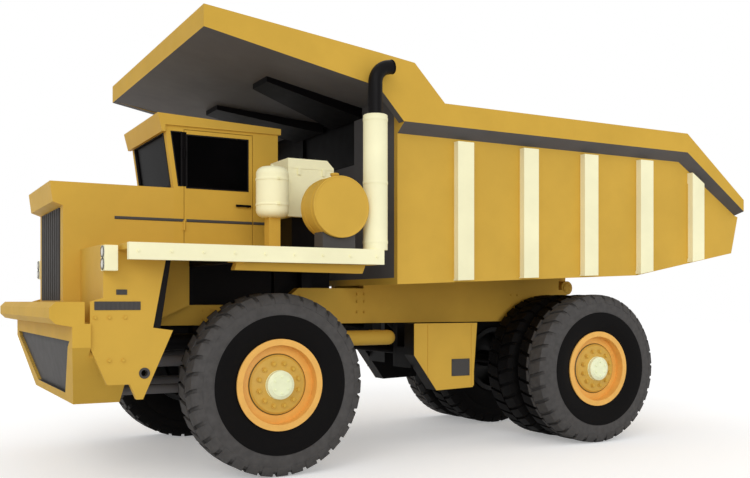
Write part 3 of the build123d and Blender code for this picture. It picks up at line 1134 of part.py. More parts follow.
hoist_rod = stage(ROD_START, closed - ROD_SHORT, ROD_R, 0)
head_eye_half = HOIST_EYE_HALF - HEAD_GAP
hoist_rod += cross_rod(head.X, head.Z, HOIST_Y - head_eye_half, HOIST_Y + head_eye_half, HEAD_EYE_R)
save_sides("hoist_rod", hoist_rod)
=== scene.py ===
"""Dresses the rigid haul dump truck: paint, rubber, glass and the small fittings on its CAD frame."""
import math

import bmesh
import bpy
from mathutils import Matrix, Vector


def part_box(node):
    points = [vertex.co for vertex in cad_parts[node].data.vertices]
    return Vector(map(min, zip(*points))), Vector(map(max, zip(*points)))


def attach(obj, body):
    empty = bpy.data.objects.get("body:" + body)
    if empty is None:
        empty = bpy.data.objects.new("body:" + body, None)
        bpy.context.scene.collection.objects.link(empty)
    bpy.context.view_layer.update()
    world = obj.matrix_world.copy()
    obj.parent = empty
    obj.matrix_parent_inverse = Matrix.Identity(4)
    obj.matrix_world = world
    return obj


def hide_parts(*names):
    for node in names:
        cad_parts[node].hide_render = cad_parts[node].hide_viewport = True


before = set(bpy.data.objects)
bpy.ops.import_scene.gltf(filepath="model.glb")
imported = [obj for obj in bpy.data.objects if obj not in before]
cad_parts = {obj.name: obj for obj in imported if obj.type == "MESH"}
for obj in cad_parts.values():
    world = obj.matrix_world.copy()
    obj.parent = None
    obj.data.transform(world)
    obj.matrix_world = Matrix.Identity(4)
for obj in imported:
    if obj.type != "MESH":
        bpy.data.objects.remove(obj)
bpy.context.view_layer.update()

# ---- Main frame --------------------------------------------------------------------------------------------
# Two deep welded steel rails with crossmembers, sprayed with the maker's mustard enamel.  Between the rails
# and below them they are painted black, as painted shade.  Bolts hold the crossmembers, and a capped pin at
# each rail's rear end carries the dump body.


def linear(hex_code):
    """An sRGB hex colour as linear red, green, blue and a full alpha."""
    parts = [int(hex_code[i:i + 2], 16) / 255 for i in (1, 3, 5)]
    return [c / 12.92 if c <= 0.04045 else ((c + 0.055) / 1.055) ** 2.4 for c in parts] + [1.0]


def faded(code, amount):
    """A colour scaled towards black (under 1) or made lighter (over 1), in linear light."""
    return [min(1.0, c * amount) for c in linear(code)[:3]] + [1.0]


def add(material, kind, settings=None, links=None):
    """Adds a node.  A setting is a socket, by name or number, one of the node's own properties, or a
    ramp's stops; a link joins a socket to a node's first output, or to the output named with it."""
    tree = material.node_tree
    item = tree.nodes.new(kind)
    for key, value in (settings or {}).items():
        if key == "stops":
            for k, (at, colour) in enumerate(value):
                stop = item.color_ramp.elements[k] if k < 2 else item.color_ramp.elements.new(at)
                stop.position, stop.color = at, colour
        elif isinstance(key, int) or key in item.inputs:
            item.inputs[key].default_value = value
        else:
            setattr(item, key, value)
    for key, source in (links or {}).items():
        node, output = source if isinstance(source, tuple) else (source, 0)
        tree.links.new(node.outputs[output], item.inputs[key])
    return item


def blank(name):
    """A new material with an empty node tree, and where a point lies on its piece, in metres."""
    material = bpy.data.materials.new(name)
    material.use_nodes = True
    material.node_tree.nodes.clear()
    return material, (add(material, "ShaderNodeTexCoord"), "Object")


def finish_surface(material, colour, roughness, bump, settings):
    """Joins colour, roughness and bump outputs to one Principled shader."""
    links = {"Base Color": colour, "Roughness": roughness}
    if bump:
        links["Normal"] = bump
    shader = add(material, "ShaderNodeBsdfPrincipled", settings, links)
    add(material, "ShaderNodeOutputMaterial", links={"Surface": shader})


FAR = 9.0                     # metres, past any end of the truck


def place_on_truck(material):
    """X, Y and Z on the truck, and the distance out from its centreline, all in metres."""
    place = add(material, "ShaderNodeTexCoord")
    split = add(material, "ShaderNodeSeparateXYZ", links={0: (place, "Object")})
    out = add(material, "ShaderNodeMath", {"operation": "ABSOLUTE"}, {0: (split, "Y")})
    return {"X": (split, "X"), "Y": (split, "Y"), "Z": (split, "Z"), "out": out}


def within_box(material, limits):
    """1 where the surface lies between every pair of limits, and 0 elsewhere; None is no limit."""
    place = place_on_truck(material)
    mask = None
    for axis, (low, high) in limits.items():
        low, high = -FAR if low is None else low, FAR if high is None else high
        inside = add(material, "ShaderNodeMath",
                     {"operation": "COMPARE", 1: (low + high) / 2, 2: (high - low) / 2}, {0: place[axis]})
        mask = add(material, "ShaderNodeMath", {"operation": "MULTIPLY"},
                   {0: mask, 1: inside}) if mask else inside
    return mask


# patterns in enamel, in repeats to the metre from the size of one in millimetres
PEEL = 1000 / 6.25            # orange peel, from crest to crest
WIPE = 1000 / 167             # streaks left by wiping
FADE = 1000 / 769             # cloudy fading of the coat
TONES = (0.35, 0.65)          # where a pattern's low and high tone begin, from 0 to 1
WORN, FRESH = 0.95, 1.04      # the first coat where it has faded and where it hasn't
THIN, THICK = 0.92, 1.06      # the same for a further coat, which is thinner and fades more


def mottle(material, here, scale, detail, low, high, grainy=0.55):
    """Two tones of a finish, mottled at a scale in repeats to the metre: the pattern and its colour.  The
    more grainy it is, the more of it is in its finer steps."""
    pattern = add(material, "ShaderNodeTexNoise", {"Scale": scale, "Detail": detail, "Roughness": grainy},
                  {"Vector": here})
    return pattern, add(material, "ShaderNodeValToRGB", {"stops": zip(TONES, (low, high))}, {"Fac": pattern})


def sprayed_enamel(name, code, coats=(), dull=0.5, shine=0.1):
    """Enamel sprayed on steel: satin, cloudy where it has faded, wiped unevenly clean, and with a fine
    orange peel.  Dull is its mean roughness, and shine its specular level.  Each further coat has its
    colour, and its limits or a function that masks it."""
    material, here = blank(name)
    clouds, colour = mottle(material, here, FADE, 5.0, faded(code, WORN), faded(code, FRESH))
    for second, where in coats:
        coat = add(material, "ShaderNodeValToRGB",
                   {"stops": zip(TONES, (faded(second, THIN), faded(second, THICK)))}, {"Fac": clouds})
        mask = where(material) if callable(where) else within_box(material, where)
        mix = add(material, "ShaderNodeMix", {"data_type": "RGBA"}, {0: mask, 6: colour, 7: coat})
        colour = (mix, 2)
    wipe = add(material, "ShaderNodeTexNoise", {"Scale": WIPE, "Detail": 6.0, "Roughness": 0.55},
               {"Vector": here})
    rough = add(material, "ShaderNodeMapRange", {"To Min": dull - 0.06, "To Max": dull + 0.12},
                {"Value": wipe})
    peel = add(material, "ShaderNodeTexNoise", {"Scale": PEEL, "Detail": 2.0, "Roughness": 0.55},
               {"Vector": here})
    bump = add(material, "ShaderNodeBump", {"Strength": 0.05, "Distance": 0.002}, {"Height": peel})
    finish_surface(material, colour, rough, bump, {"Specular IOR Level": shine})
    return material


def paint(material, *nodes):
    """Gives CAD nodes a finish in every slot they have."""
    for name in nodes:
        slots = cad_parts[name].material_slots
        if not slots:
            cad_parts[name].data.materials.append(material)
        for slot in slots:
            slot.link = "OBJECT"
            slot.material = material


MUSTARD = "#d0a745"
BLACK = "#0b090a"
RAIL_INNER_Y = 0.345
RAIL_FOOT_Z = 1.665


def inside_frame_shade(material):
    """1 between the rails and below them, where black painted shade goes."""
    between = within_box(material, {"out": (None, RAIL_INNER_Y)})
    below = within_box(material, {"Z": (None, RAIL_FOOT_Z)})
    return add(material, "ShaderNodeMath", {"operation": "MAXIMUM"}, {0: between, 1: below})


# a warm satin yellow on the rails' outer faces, and black painted shade that loses the crossmembers
paint(sprayed_enamel("frame enamel", MUSTARD, [(BLACK, inside_frame_shade)]), "main_frame")
# the warm, even yellow of most of the truck's panels and of the bolts in them
mustard_enamel = sprayed_enamel("mustard enamel", MUSTARD)

FRONT_AXLE = 2.51             # X of each axle; lengths along the truck are set off from them
REAR_AXLE = -2.33


def turn_about(mesh, origin, direction, profile, steps=48, closed=False):
    """Turns a profile of (radius, distance along the axis) about the line through origin."""
    origin = Vector(origin)
    facing = Vector((0, 0, 1)).rotation_difference(Vector(direction).normalized()).to_matrix()
    rings = []
    for step in range(steps):
        angle = 2 * math.pi * step / steps
        rings.append([mesh.verts.new(origin + facing @ Vector((radius * math.cos(angle),
                                                               radius * math.sin(angle), along)))
                      for radius, along in profile])
    spans = len(profile) if closed else len(profile) - 1
    for step in range(steps):
        here, after = rings[step], rings[(step + 1) % steps]
        for k in range(spans):
            n = (k + 1) % len(profile)
            mesh.faces.new((here[k], here[n], after[n], after[k]))
    if not closed:
        for ends in (0, -1):
            mesh.faces.new([ring[ends] for ring in rings])


def add_bolt(mesh, at, direction, across):
    """A hexagon head on its washer; across is the head's width over its corners."""
    turn_about(mesh, at, direction, [(0.68 * across, -0.002), (0.68 * across, 0.12 * across),
                                     (0.3 * across, 0.12 * across)], 16)
    turn_about(mesh, at, direction, [(0.5 * across, 0.1 * across), (0.5 * across, 0.5 * across),
                                     (0.42 * across, 0.58 * across)], 6)


CRISP_FROM = math.radians(35)    # an edge bent by more than this stays crisp


def soften(piece):
    """Smooth shading, as on a moulded or rolled surface, apart from crisp edges."""
    data = piece.data
    data.polygons.foreach_set("use_smooth", [True] * len(data.polygons))
    checked = bmesh.new()
    checked.from_mesh(data)
    for edge in checked.edges:
        if len(edge.link_faces) == 2 and edge.calc_face_angle(0.0) > CRISP_FROM:
            edge.smooth = False
    checked.to_mesh(data)
    checked.free()


def build_piece(name, mesh, material, body, bevel=0.0):
    """Makes an object of a mesh, rounds its edges and lets it ride on its body."""
    bmesh.ops.recalc_face_normals(mesh, faces=mesh.faces)
    if bevel:
        sharp = [edge for edge in mesh.edges if edge.is_manifold and edge.calc_face_angle() > 0.6]
        bmesh.ops.bevel(mesh, geom=sharp, offset=bevel, segments=2, affect="EDGES", clamp_overlap=True)
    data = bpy.data.meshes.new(name)
    mesh.to_mesh(data)
    mesh.free()
    piece = bpy.data.objects.new(name, data)
    bpy.context.collection.objects.link(piece)
    data.materials.append(material)
    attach(piece, body)
    soften(piece)
    return piece


RAIL_FACE_Y = 0.5
BOLT_PITCH = 0.11
# X of the first bolt of each pair, and the heights of the pairs above it
CROSSMEMBER_BOLTS = ((FRONT_AXLE - 1.85, (1.82, 1.96, 2.06)), (REAR_AXLE + 0.40, (1.74, 1.90, 2.06)),
                     (FRONT_AXLE - 0.90, (1.74, 1.90, 2.04)), (FRONT_AXLE + 0.30, (1.74, 1.85)))
mesh = bmesh.new()
for sign in (1, -1):
    for station, heights in CROSSMEMBER_BOLTS:
        for height in heights:
            for along in (0.0, BOLT_PITCH):
                add_bolt(mesh, (station + along, sign * RAIL_FACE_Y, height), (0, sign, 0), 0.036)
build_piece("frame_bolts", mesh, mustard_enamel, "chassis")

HINGE_X = REAR_AXLE - 0.56
HINGE_Z = 2.17
CAP_BOLTS = 4
CAP_BOLT_CIRCLE = 0.048
mesh = bmesh.new()
for sign in (1, -1):
    face = (HINGE_X, sign * RAIL_FACE_Y, HINGE_Z)
    turn_about(mesh, face, (0, sign, 0), [(0.075, -0.002), (0.075, 0.010), (0.068, 0.016), (0.03, 0.016)])
    for turn in range(CAP_BOLTS):
        angle = math.radians(45 + 360 / CAP_BOLTS * turn)
        add_bolt(mesh, (HINGE_X + CAP_BOLT_CIRCLE * math.cos(angle), sign * (RAIL_FACE_Y + 0.015),
                        HINGE_Z + CAP_BOLT_CIRCLE * math.sin(angle)), (0, sign, 0), 0.022)
build_piece("hinge_pin_caps", mesh, mustard_enamel, "chassis")

# ---- Front bumper ------------------------------------------------------------------------------------------
# Pressed and welded steel in the same mustard enamel, with a sunk panel painted dark grey as painted shade
# in the recess.  The panel is a trapezoid, wide at its head.
DARK_GREY = "#4e4c4b"
BUMPER_REAR_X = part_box("front_bumper")[0][0]
PANEL_FOOT_Z = 0.96
PANEL_HEAD_Z = 1.56
PANEL_FOOT = 0.96             # half width of the panel at its foot
PANEL_HEAD = 1.86             # and at its head
PANEL_BEHIND = 0.2            # the back of the bumper, which stays mustard


def sunk_panel_shade(material):
    """1 inside the trapezoid of the bumper's sunk panel, where dark grey painted shade goes."""
    place = place_on_truck(material)
    lean = (PANEL_HEAD - PANEL_FOOT) / (PANEL_HEAD_Z - PANEL_FOOT_Z)
    reach = add(material, "ShaderNodeMath",
                {"operation": "MULTIPLY_ADD", 1: lean, 2: PANEL_FOOT - PANEL_FOOT_Z * lean}, {0: place["Z"]})
    inside = add(material, "ShaderNodeMath", {"operation": "LESS_THAN"}, {0: place["out"], 1: reach})
    ahead = within_box(material, {"Z": (PANEL_FOOT_Z - 0.003, PANEL_HEAD_Z + 0.003),
                                  "X": (BUMPER_REAR_X + PANEL_BEHIND, None)})
    return add(material, "ShaderNodeMath", {"operation": "MULTIPLY"}, {0: inside, 1: ahead})


# the panels' yellow with less sheen on its broad face, and soft grey painted shade that deepens the sunk
# panel
paint(sprayed_enamel("bumper enamel", MUSTARD, [(DARK_GREY, sunk_panel_shade)], shine=0.04), "front_bumper")

# ---- Side aprons -------------------------------------------------------------------------------------------
# Thick profile-cut side plates bolted to the bumper.  Their eyes have a pressed-in steel bush, and in their
# slots a ridged dark step plate stands as painted shade; a black rubber strip along the wheel arch's edge
# is a painted shadow line.
paint(mustard_enamel, "side_aprons")
APRON_Y = 1.98


def add_block(mesh, low, high):
    """A plate or bar between two corners."""
    ends = [mesh.verts.new((x, y, z)) for x in (low[0], high[0]) for y in (low[1], high[1])
            for z in (low[2], high[2])]
    for a, b, c, d in ((0, 1, 3, 2), (4, 6, 7, 5), (0, 4, 5, 1), (2, 3, 7, 6), (0, 2, 6, 4), (1, 5, 7, 3)):
        mesh.faces.new((ends[a], ends[b], ends[c], ends[d]))


def add_prism(mesh, points, y0, y1):
    """A side outline of (x, z) points, drawn out from y0 to y1."""
    near = [mesh.verts.new((x, y0, z)) for x, z in points]
    far = [mesh.verts.new((x, y1, z)) for x, z in points]
    mesh.faces.new(near)
    mesh.faces.new(far)
    for k in range(len(points)):
        n = (k + 1) % len(points)
        mesh.faces.new((near[k], near[n], far[n], far[k]))


def across_side(sign, inner, outer):
    """Two distances out from the centreline as a low and a high Y on the side that sign gives."""
    return sorted((sign * inner, sign * outer))


APRON_BOLTS = ((1.72, 1.80), (1.88, 1.80), (2.02, 1.80), (1.74, 1.36), (1.88, 1.36))    # X from the axle, Z
mesh = bmesh.new()
for sign in (1, -1):
    for x, z in APRON_BOLTS:
        add_bolt(mesh, (FRONT_AXLE + x, sign * APRON_Y, z), (0, sign, 0), 0.034)
build_piece("apron_bolts", mesh, mustard_enamel, "chassis")

EYE_AT = (FRONT_AXLE + 1.52, 1.22)
# each step plate's ends from the axle, its middle height and half its own height
STEP_PLATES = ((1.562, 2.028, 1.92, 0.044), (1.70, 1.81, 2.06, 0.027))
RIDGE_PITCH = 0.045
RIDGE_HALF = 0.006
# the dull grey of bolted-on fittings: mouldings, plates and bars
dark_enamel = sprayed_enamel("dark grey enamel", DARK_GREY, dull=0.6, shine=0.04)
mesh = bmesh.new()
for sign in (1, -1):
    turn_about(mesh, (EYE_AT[0], sign * APRON_Y, EYE_AT[1]), (0, sign, 0),
               [(0.034, -0.084), (0.034, 0.004), (0.038, 0.008), (0.054, 0.008), (0.058, 0.004),
                (0.058, -0.002), (0.046, -0.003), (0.046, -0.084)], 40, closed=True)
    # dark step plates in the slots, as painted shade
    for x0, x1, z, half in STEP_PLATES:
        plate = across_side(sign, APRON_Y - 0.002, APRON_Y + 0.008)
        ridge = across_side(sign, APRON_Y + 0.007, APRON_Y + 0.012)
        add_block(mesh, (FRONT_AXLE + x0, plate[0], z - half), (FRONT_AXLE + x1, plate[1], z + half))
        count = int((x1 - x0) / RIDGE_PITCH)
        for k in range(count):
            middle = FRONT_AXLE + x0 + (k + 0.5) * (x1 - x0) / count
            add_block(mesh, (middle - RIDGE_HALF, ridge[0], z - 0.8 * half),
                      (middle + RIDGE_HALF, ridge[1], z + 0.8 * half))
build_piece("apron_bushes_and_treads", mesh, dark_enamel, "chassis", 0.002)

# black rubber with a dull bloom, so that it reads softer than the black enamel
PORES = 1000 / 3.3            # the mould's grain
moulded_rubber, here = blank("moulded black rubber")
pores, rubber_colour = mottle(moulded_rubber, here, PORES, 3.0, linear("#0a0809"), linear("#131112"))
rubber_rough = add(moulded_rubber, "ShaderNodeMapRange", {"To Min": 0.6, "To Max": 0.8}, {"Value": pores})
rubber_bump = add(moulded_rubber, "ShaderNodeBump", {"Strength": 0.1, "Distance": 0.001}, {"Height": pores})
finish_surface(moulded_rubber, rubber_colour, rubber_rough, rubber_bump, {"Specular IOR Level": 0.15})
# a black strip on the apron's rear edge at the wheel arch, as a painted shadow line
mesh = bmesh.new()
strip = [(FRONT_AXLE + x, z) for x, z in ((1.283, 2.485), (1.225, 2.485), (1.352, 1.655), (1.432, 1.675))]
for sign in (1, -1):
    add_prism(mesh, strip, *across_side(sign, 1.915, 1.965))
build_piece("arch_shadow_strip", mesh, moulded_rubber, "chassis", 0.004)

# ---- Fender decks ------------------------------------------------------------------------------------------
# Chequered steel plate over the front wheels: mustard above, black painted shade on the beams beneath,
# raised lozenges underfoot, and a cream box beam bolted along each outer edge.  A folded skirt hangs under
# each deck's wedge, over the wheel.
CREAM = "#faf5cc"
DECK_TOP = 2.55
# the warm off-white of the trim, a little glossier than the mustard
cream_enamel = sprayed_enamel("cream enamel", CREAM, dull=0.42)
# black painted shade on the beams and the underside, in from the outer wedge
SHADED_UNDER_DECK = {"Z": (None, 2.4895), "out": (None, 2.1)}
paint(sprayed_enamel("deck enamel", MUSTARD, [(BLACK, SHADED_UNDER_DECK)]), "fender_decks")
paint(cream_enamel, "deck_edges")

LOZENGE_PITCH = 0.11
LOZENGE_COLUMNS = 14          # across a deck, at the most
LOZENGE_H = 0.006
LOZENGE_ENDS = ((0.036, 0), (0, 0.011), (-0.036, 0), (0, -0.011))    # along and across each one
LOZENGE_TOP = 0.6             # how much of its foot its top covers
LOZENGES_FROM = (FRONT_AXLE - 1.03, 0.86)
DECK_LENGTH = 2.9
DECK_EDGE_Y = 2.32
# the lamp box stands on the deck's front corner
LAMP_CORNER = (FRONT_AXLE + 1.72, 1.94)
mesh = bmesh.new()
for row in range(int(DECK_LENGTH / LOZENGE_PITCH)):
    x = LOZENGES_FROM[0] + row * LOZENGE_PITCH
    for column in range(LOZENGE_COLUMNS):
        y = LOZENGES_FROM[1] + column * LOZENGE_PITCH
        if y > LAMP_CORNER[1] and x > LAMP_CORNER[0] or y > DECK_EDGE_Y:
            continue
        turn = math.radians(45 if (row + column) % 2 else -45)
        for sign in (1, -1):
            low, high = [], []
            for along, across in LOZENGE_ENDS:
                dx = along * math.cos(turn) - across * math.sin(turn)
                dy = along * math.sin(turn) + across * math.cos(turn)
                low.append(mesh.verts.new((x + dx, sign * (y + dy), DECK_TOP - 0.001)))
                high.append(mesh.verts.new((x + LOZENGE_TOP * dx, sign * (y + LOZENGE_TOP * dy),
                                            DECK_TOP + LOZENGE_H)))
            mesh.faces.new(high)
            for k in range(4):
                n = (k + 1) % 4
                mesh.faces.new((low[k], low[n], high[n], high[k]))
build_piece("deck_lozenges", mesh, mustard_enamel, "chassis")

EDGE_BOLTS = 9
EDGE_BOLT_PITCH = 0.335
EDGE_BOLT_AT = (FRONT_AXLE - 0.98, 2.44, 2.465)    # the rearmost one
mesh = bmesh.new()
for sign in (1, -1):
    for step in range(EDGE_BOLTS):
        add_bolt(mesh, (EDGE_BOLT_AT[0] + step * EDGE_BOLT_PITCH, sign * EDGE_BOLT_AT[1], EDGE_BOLT_AT[2]),
                 (0, sign, 0), 0.026)
build_piece("deck_edge_bolts", mesh, cream_enamel, "chassis")

mesh = bmesh.new()
skirt = [(FRONT_AXLE + x, z) for x, z in ((0.605, 2.385), (0.635, 2.30), (-0.905, 2.282), (-0.945, 2.385))]
for sign in (1, -1):
    add_prism(mesh, skirt, *across_side(sign, 2.12, 2.238))
build_piece("deck_skirts", mesh, mustard_enamel, "chassis", 0.004)

# ---- Head lamps --------------------------------------------------------------------------------------------
# A cream sheet-metal box on each side holds two round sealed-beam lamps, one over the other, each with a
# ribbed glass in a plated ring.
paint(cream_enamel, "head_lamps")
# pale moulded glass whose upright ribs show bright lines, a painted highlight in its colour
RIBS = math.pi / 10 / 0.02244    # a wave of this scale repeats every 22 mm
ribbed_glass, here = blank("ribbed lamp glass")
ribs = add(ribbed_glass, "ShaderNodeTexWave", {"bands_direction": "Y", "Scale": RIBS, "Distortion": 0.0},
           {"Vector": here})
rib_highlight_tone = add(ribbed_glass, "ShaderNodeValToRGB",
                 {"stops": ((0.2, linear("#d9d8cd")), (0.8, linear("#f1f0e4")))}, {"Fac": ribs})
glass_rough = add(ribbed_glass, "ShaderNodeMapRange", {"To Min": 0.08, "To Max": 0.16}, {"Value": ribs})
glass_bump = add(ribbed_glass, "ShaderNodeBump", {"Strength": 0.3, "Distance": 0.002}, {"Height": ribs})
finish_surface(ribbed_glass, rib_highlight_tone, glass_rough, glass_bump, {"Specular IOR Level": 0.5})

# bright bare metal, dulled in fine marks where it has been ground and handled
MARKS = 1000 / 16.7           # the coarser marks
ground_steel, here = blank("ground steel")
marks, steel_colour = mottle(ground_steel, here, MARKS, 8.0, linear("#5c5b5a"), linear("#8e8c89"), 0.6)
steel_rough = add(ground_steel, "ShaderNodeMapRange", {"To Min": 0.28, "To Max": 0.5}, {"Value": marks})
finish_surface(ground_steel, steel_colour, steel_rough, None, {"Metallic": 1.0})

LAMP_FACE_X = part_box("head_lamps")[1][0]
LENS_R = 0.052
LAMP_Y = 2.07
LAMP_HEIGHTS = (2.342, 2.466)
lenses, bezels = bmesh.new(), bmesh.new()
for sign in (1, -1):
    for height in LAMP_HEIGHTS:
        face = (LAMP_FACE_X, sign * LAMP_Y, height)
        turn_about(lenses, face, (1, 0, 0), [(LENS_R, -0.002), (LENS_R, 0.006), (0.036, 0.012),
                                             (0.018, 0.015), (0.004, 0.016)], 32)
        turn_about(bezels, face, (1, 0, 0), [(LENS_R, -0.002), (LENS_R, 0.010), (LENS_R + 0.004, 0.013),
                                             (LENS_R + 0.009, 0.010), (LENS_R + 0.010, -0.002)],
                   32, closed=True)
build_piece("lamp_lenses", lenses, ribbed_glass, "chassis")
build_piece("lamp_bezels", bezels, ground_steel, "chassis")

# ---- Air cleaners ------------------------------------------------------------------------------------------
# Canisters pressed from sheet steel with domed ends, sprayed cream and stood on square mustard posts.  Two
# bands with bolted ears clamp each one's shell, and a wing nut on top holds its filter.
CLEANER_AT = (FRONT_AXLE - 0.06, 1.6)
CLEANER_R = 0.19
CLEANER_FOOT_Z = 2.929
CLEANER_TOP_Z = 3.515
CLAMP_HEIGHTS = (3.08, 3.37)
CLAMP_HALF = 0.014
EARS = (-0.016, 0.008)        # the two ears of a clamp, from its middle
EAR_THICK = 0.008
# the trim's off-white, which shades softly round the shell, over a yellow post
paint(sprayed_enamel("air cleaner enamel", CREAM, [(MUSTARD, {"Z": (None, CLEANER_FOOT_Z)})], dull=0.42),
      "air_cleaners")


def add_band(mesh, centre, direction, radius, half, proud):
    """A flat steel band round a drum, its edges rounded over."""
    turn_about(mesh, centre, direction, [(radius - 0.002, -half), (radius + 0.7 * proud, -half),
                                         (radius + proud, -0.7 * half), (radius + proud, 0.7 * half),
                                         (radius + 0.7 * proud, half), (radius - 0.002, half)],
               64, closed=True)


mesh = bmesh.new()
for sign in (1, -1):
    ear_y = across_side(sign, CLEANER_AT[1] + CLEANER_R - 0.004, CLEANER_AT[1] + CLEANER_R + 0.022)
    for height in CLAMP_HEIGHTS:
        add_band(mesh, (CLEANER_AT[0], sign * CLEANER_AT[1], height), (0, 0, 1), CLEANER_R, CLAMP_HALF, 0.005)
        for ear in EARS:
            add_block(mesh, (CLEANER_AT[0] + ear, ear_y[0], height - CLAMP_HALF),
                      (CLEANER_AT[0] + ear + EAR_THICK, ear_y[1], height + CLAMP_HALF))
    turn_about(mesh, (CLEANER_AT[0], sign * CLEANER_AT[1], CLEANER_TOP_Z), (0, 0, 1),
               [(0.045, 0.0), (0.045, 0.012), (0.03, 0.018), (0.012, 0.018), (0.012, 0.034),
                (0.006, 0.036)], 24)
build_piece("air_cleaner_clamps", mesh, cream_enamel, "chassis")

# ---- Deck boxes --------------------------------------------------------------------------------------------
# Folded sheet-metal lockers in cream on pedestals painted black as painted shade; the lid folds over the
# top edge and is held by two toggle catches.
LOCKER_FOOT_Z = 2.969
LOCKER_X = (FRONT_AXLE - 0.9, FRONT_AXLE - 0.3)
LOCKER_Y = 1.5
LID_Z = (3.54, 3.566)
CATCH_INSET = 0.12
CATCH_WIDTH = 0.04
# the trim's off-white on the folded sheet, over a foot painted black as painted shade
paint(sprayed_enamel("locker enamel", CREAM, [(BLACK, {"Z": (None, LOCKER_FOOT_Z)})], dull=0.42),
      "deck_boxes")
mesh = bmesh.new()
for sign in (1, -1):
    lip = across_side(sign, LOCKER_Y - 0.001, LOCKER_Y + 0.006)
    add_block(mesh, (LOCKER_X[0] + 0.004, lip[0], LID_Z[0]), (LOCKER_X[1] - 0.004, lip[1], LID_Z[1]))
    catch = across_side(sign, LOCKER_Y, LOCKER_Y + 0.018)
    for x in (LOCKER_X[0] + CATCH_INSET, LOCKER_X[1] - CATCH_INSET - CATCH_WIDTH):
        add_block(mesh, (x, catch[0], LID_Z[0] - 0.075), (x + CATCH_WIDTH, catch[1], LID_Z[0] + 0.012))
build_piece("locker_lids_and_catches", mesh, cream_enamel, "chassis", 0.003)

# ---- Deck tanks --------------------------------------------------------------------------------------------
# Air tanks of rolled steel with a dished plate welded in each end, sprayed mustard.  Two steel bands strap
# each one down to its dark grey saddle, and a screwed plug closes the filler on top.
TANK_AT = (FRONT_AXLE - 0.54, 3.01)
TANK_R = 0.34
TANK_END_Y = 2.43
STRAPS_Y = (2.16, 2.35)
FILLER_Y = 2.255


def reach_from(material, x, z):
    """Distance from a line straight across the truck at x and z, in metres."""
    place = add(material, "ShaderNodeTexCoord")
    shift = add(material, "ShaderNodeVectorMath", {"operation": "SUBTRACT", 1: (x, 0.0, z)},
                {0: (place, "Object")})
    flat = add(material, "ShaderNodeVectorMath", {"operation": "MULTIPLY", 1: (1.0, 0.0, 1.0)}, {0: shift})
    return (add(material, "ShaderNodeVectorMath", {"operation": "LENGTH"}, {0: flat}), "Value")


def off_the_tank(material):
    """1 on the saddle, outside the tank's own round."""
    return add(material, "ShaderNodeMath", {"operation": "GREATER_THAN", 1: TANK_R + 0.002},
               {0: reach_from(material, *TANK_AT)})


# the panels' yellow, which shades from pale to deep round the shell, over a plain grey saddle
paint(sprayed_enamel("tank enamel", MUSTARD, [(DARK_GREY, off_the_tank)]), "deck_tanks")
mesh = bmesh.new()
for sign in (1, -1):
    for y in STRAPS_Y:
        add_band(mesh, (TANK_AT[0], sign * y, TANK_AT[1]), (0, 1, 0), TANK_R, 0.02, 0.005)
    turn_about(mesh, (TANK_AT[0], sign * TANK_END_Y, TANK_AT[1]), (0, sign, 0),
               [(TANK_R, -0.02), (TANK_R + 0.002, 0.004), (0.334, 0.008), (0.326, 0.004), (0.318, 0.002),
                (0.30, 0.004), (0.22, 0.012), (0.10, 0.018), (0.01, 0.020)], 72)
    turn_about(mesh, (TANK_AT[0], sign * FILLER_Y, TANK_AT[1] + TANK_R - 0.004), (0, 0, 1),
               [(0.04, 0.0), (0.04, 0.028), (0.05, 0.03), (0.05, 0.048), (0.042, 0.054), (0.008, 0.056)], 24)
build_piece("tank_ends_straps_and_fillers", mesh, mustard_enamel, "chassis")

# ---- Hood and grille ---------------------------------------------------------------------------------------
# The hood is rolled sheet steel over the engine with a dark pressed moulding along it, which runs on over
# the cab and its doors.  The grille is a rack of upright bars with thin rods across behind them.
paint(mustard_enamel, "hood", "cab_roof")
LINE_Z = 2.912
SHEET_Y = 0.8                 # the hood's and cab's side
CAB_REAR = FRONT_AXLE - 0.46
BREAK_REAR = FRONT_AXLE - 0.132    # the moulding stops short of the door at its rear
BREAK_FRONT = FRONT_AXLE + 0.752   # and at its front
LINE_FRONT = FRONT_AXLE + 1.56


def add_moulding(mesh, x0, x1, side):
    """A half-round moulding on the side of the hood or cab."""
    section = [(0.0, 0.0), (0.008, 0.004), (0.011, 0.012), (0.011, 0.024), (0.008, 0.032), (0.0, 0.036)]
    rows = [[mesh.verts.new((x, side * (SHEET_Y + proud), LINE_Z + height)) for proud, height in section]
            for x in (x0, x1)]
    for k in range(len(section) - 1):
        mesh.faces.new((rows[0][k], rows[0][k + 1], rows[1][k + 1], rows[1][k]))
    mesh.faces.new(rows[0])
    mesh.faces.new(rows[1])
    mesh.faces.new((rows[0][0], rows[0][-1], rows[1][-1], rows[1][0]))


mesh = bmesh.new()
for sign in (1, -1):
    add_moulding(mesh, BREAK_FRONT, LINE_FRONT, sign)
    add_moulding(mesh, CAB_REAR, BREAK_REAR, sign)
build_piece("hood_moulding", mesh, dark_enamel, "chassis")
for side, sign in (("left", 1), ("right", -1)):
    mesh = bmesh.new()
    add_moulding(mesh, BREAK_REAR + 0.016, BREAK_FRONT - 0.037, sign)
    build_piece(f"door_moulding_{side}", mesh, dark_enamel, f"{side}_door")

paint(dark_enamel, "grille")
RODS = 13
ROD_PITCH = 0.078
ROD_HALF = 0.638
ROD_R = 0.006
LOWEST_ROD = (FRONT_AXLE + 2.122, 2.03)
mesh = bmesh.new()
for row in range(RODS):
    turn_about(mesh, (LOWEST_ROD[0], -ROD_HALF, LOWEST_ROD[1] + row * ROD_PITCH), (0, 1, 0),
               [(ROD_R, 0.0), (ROD_R, 2 * ROD_HALF)], 8)
build_piece("grille_rods", mesh, dark_enamel, "chassis")

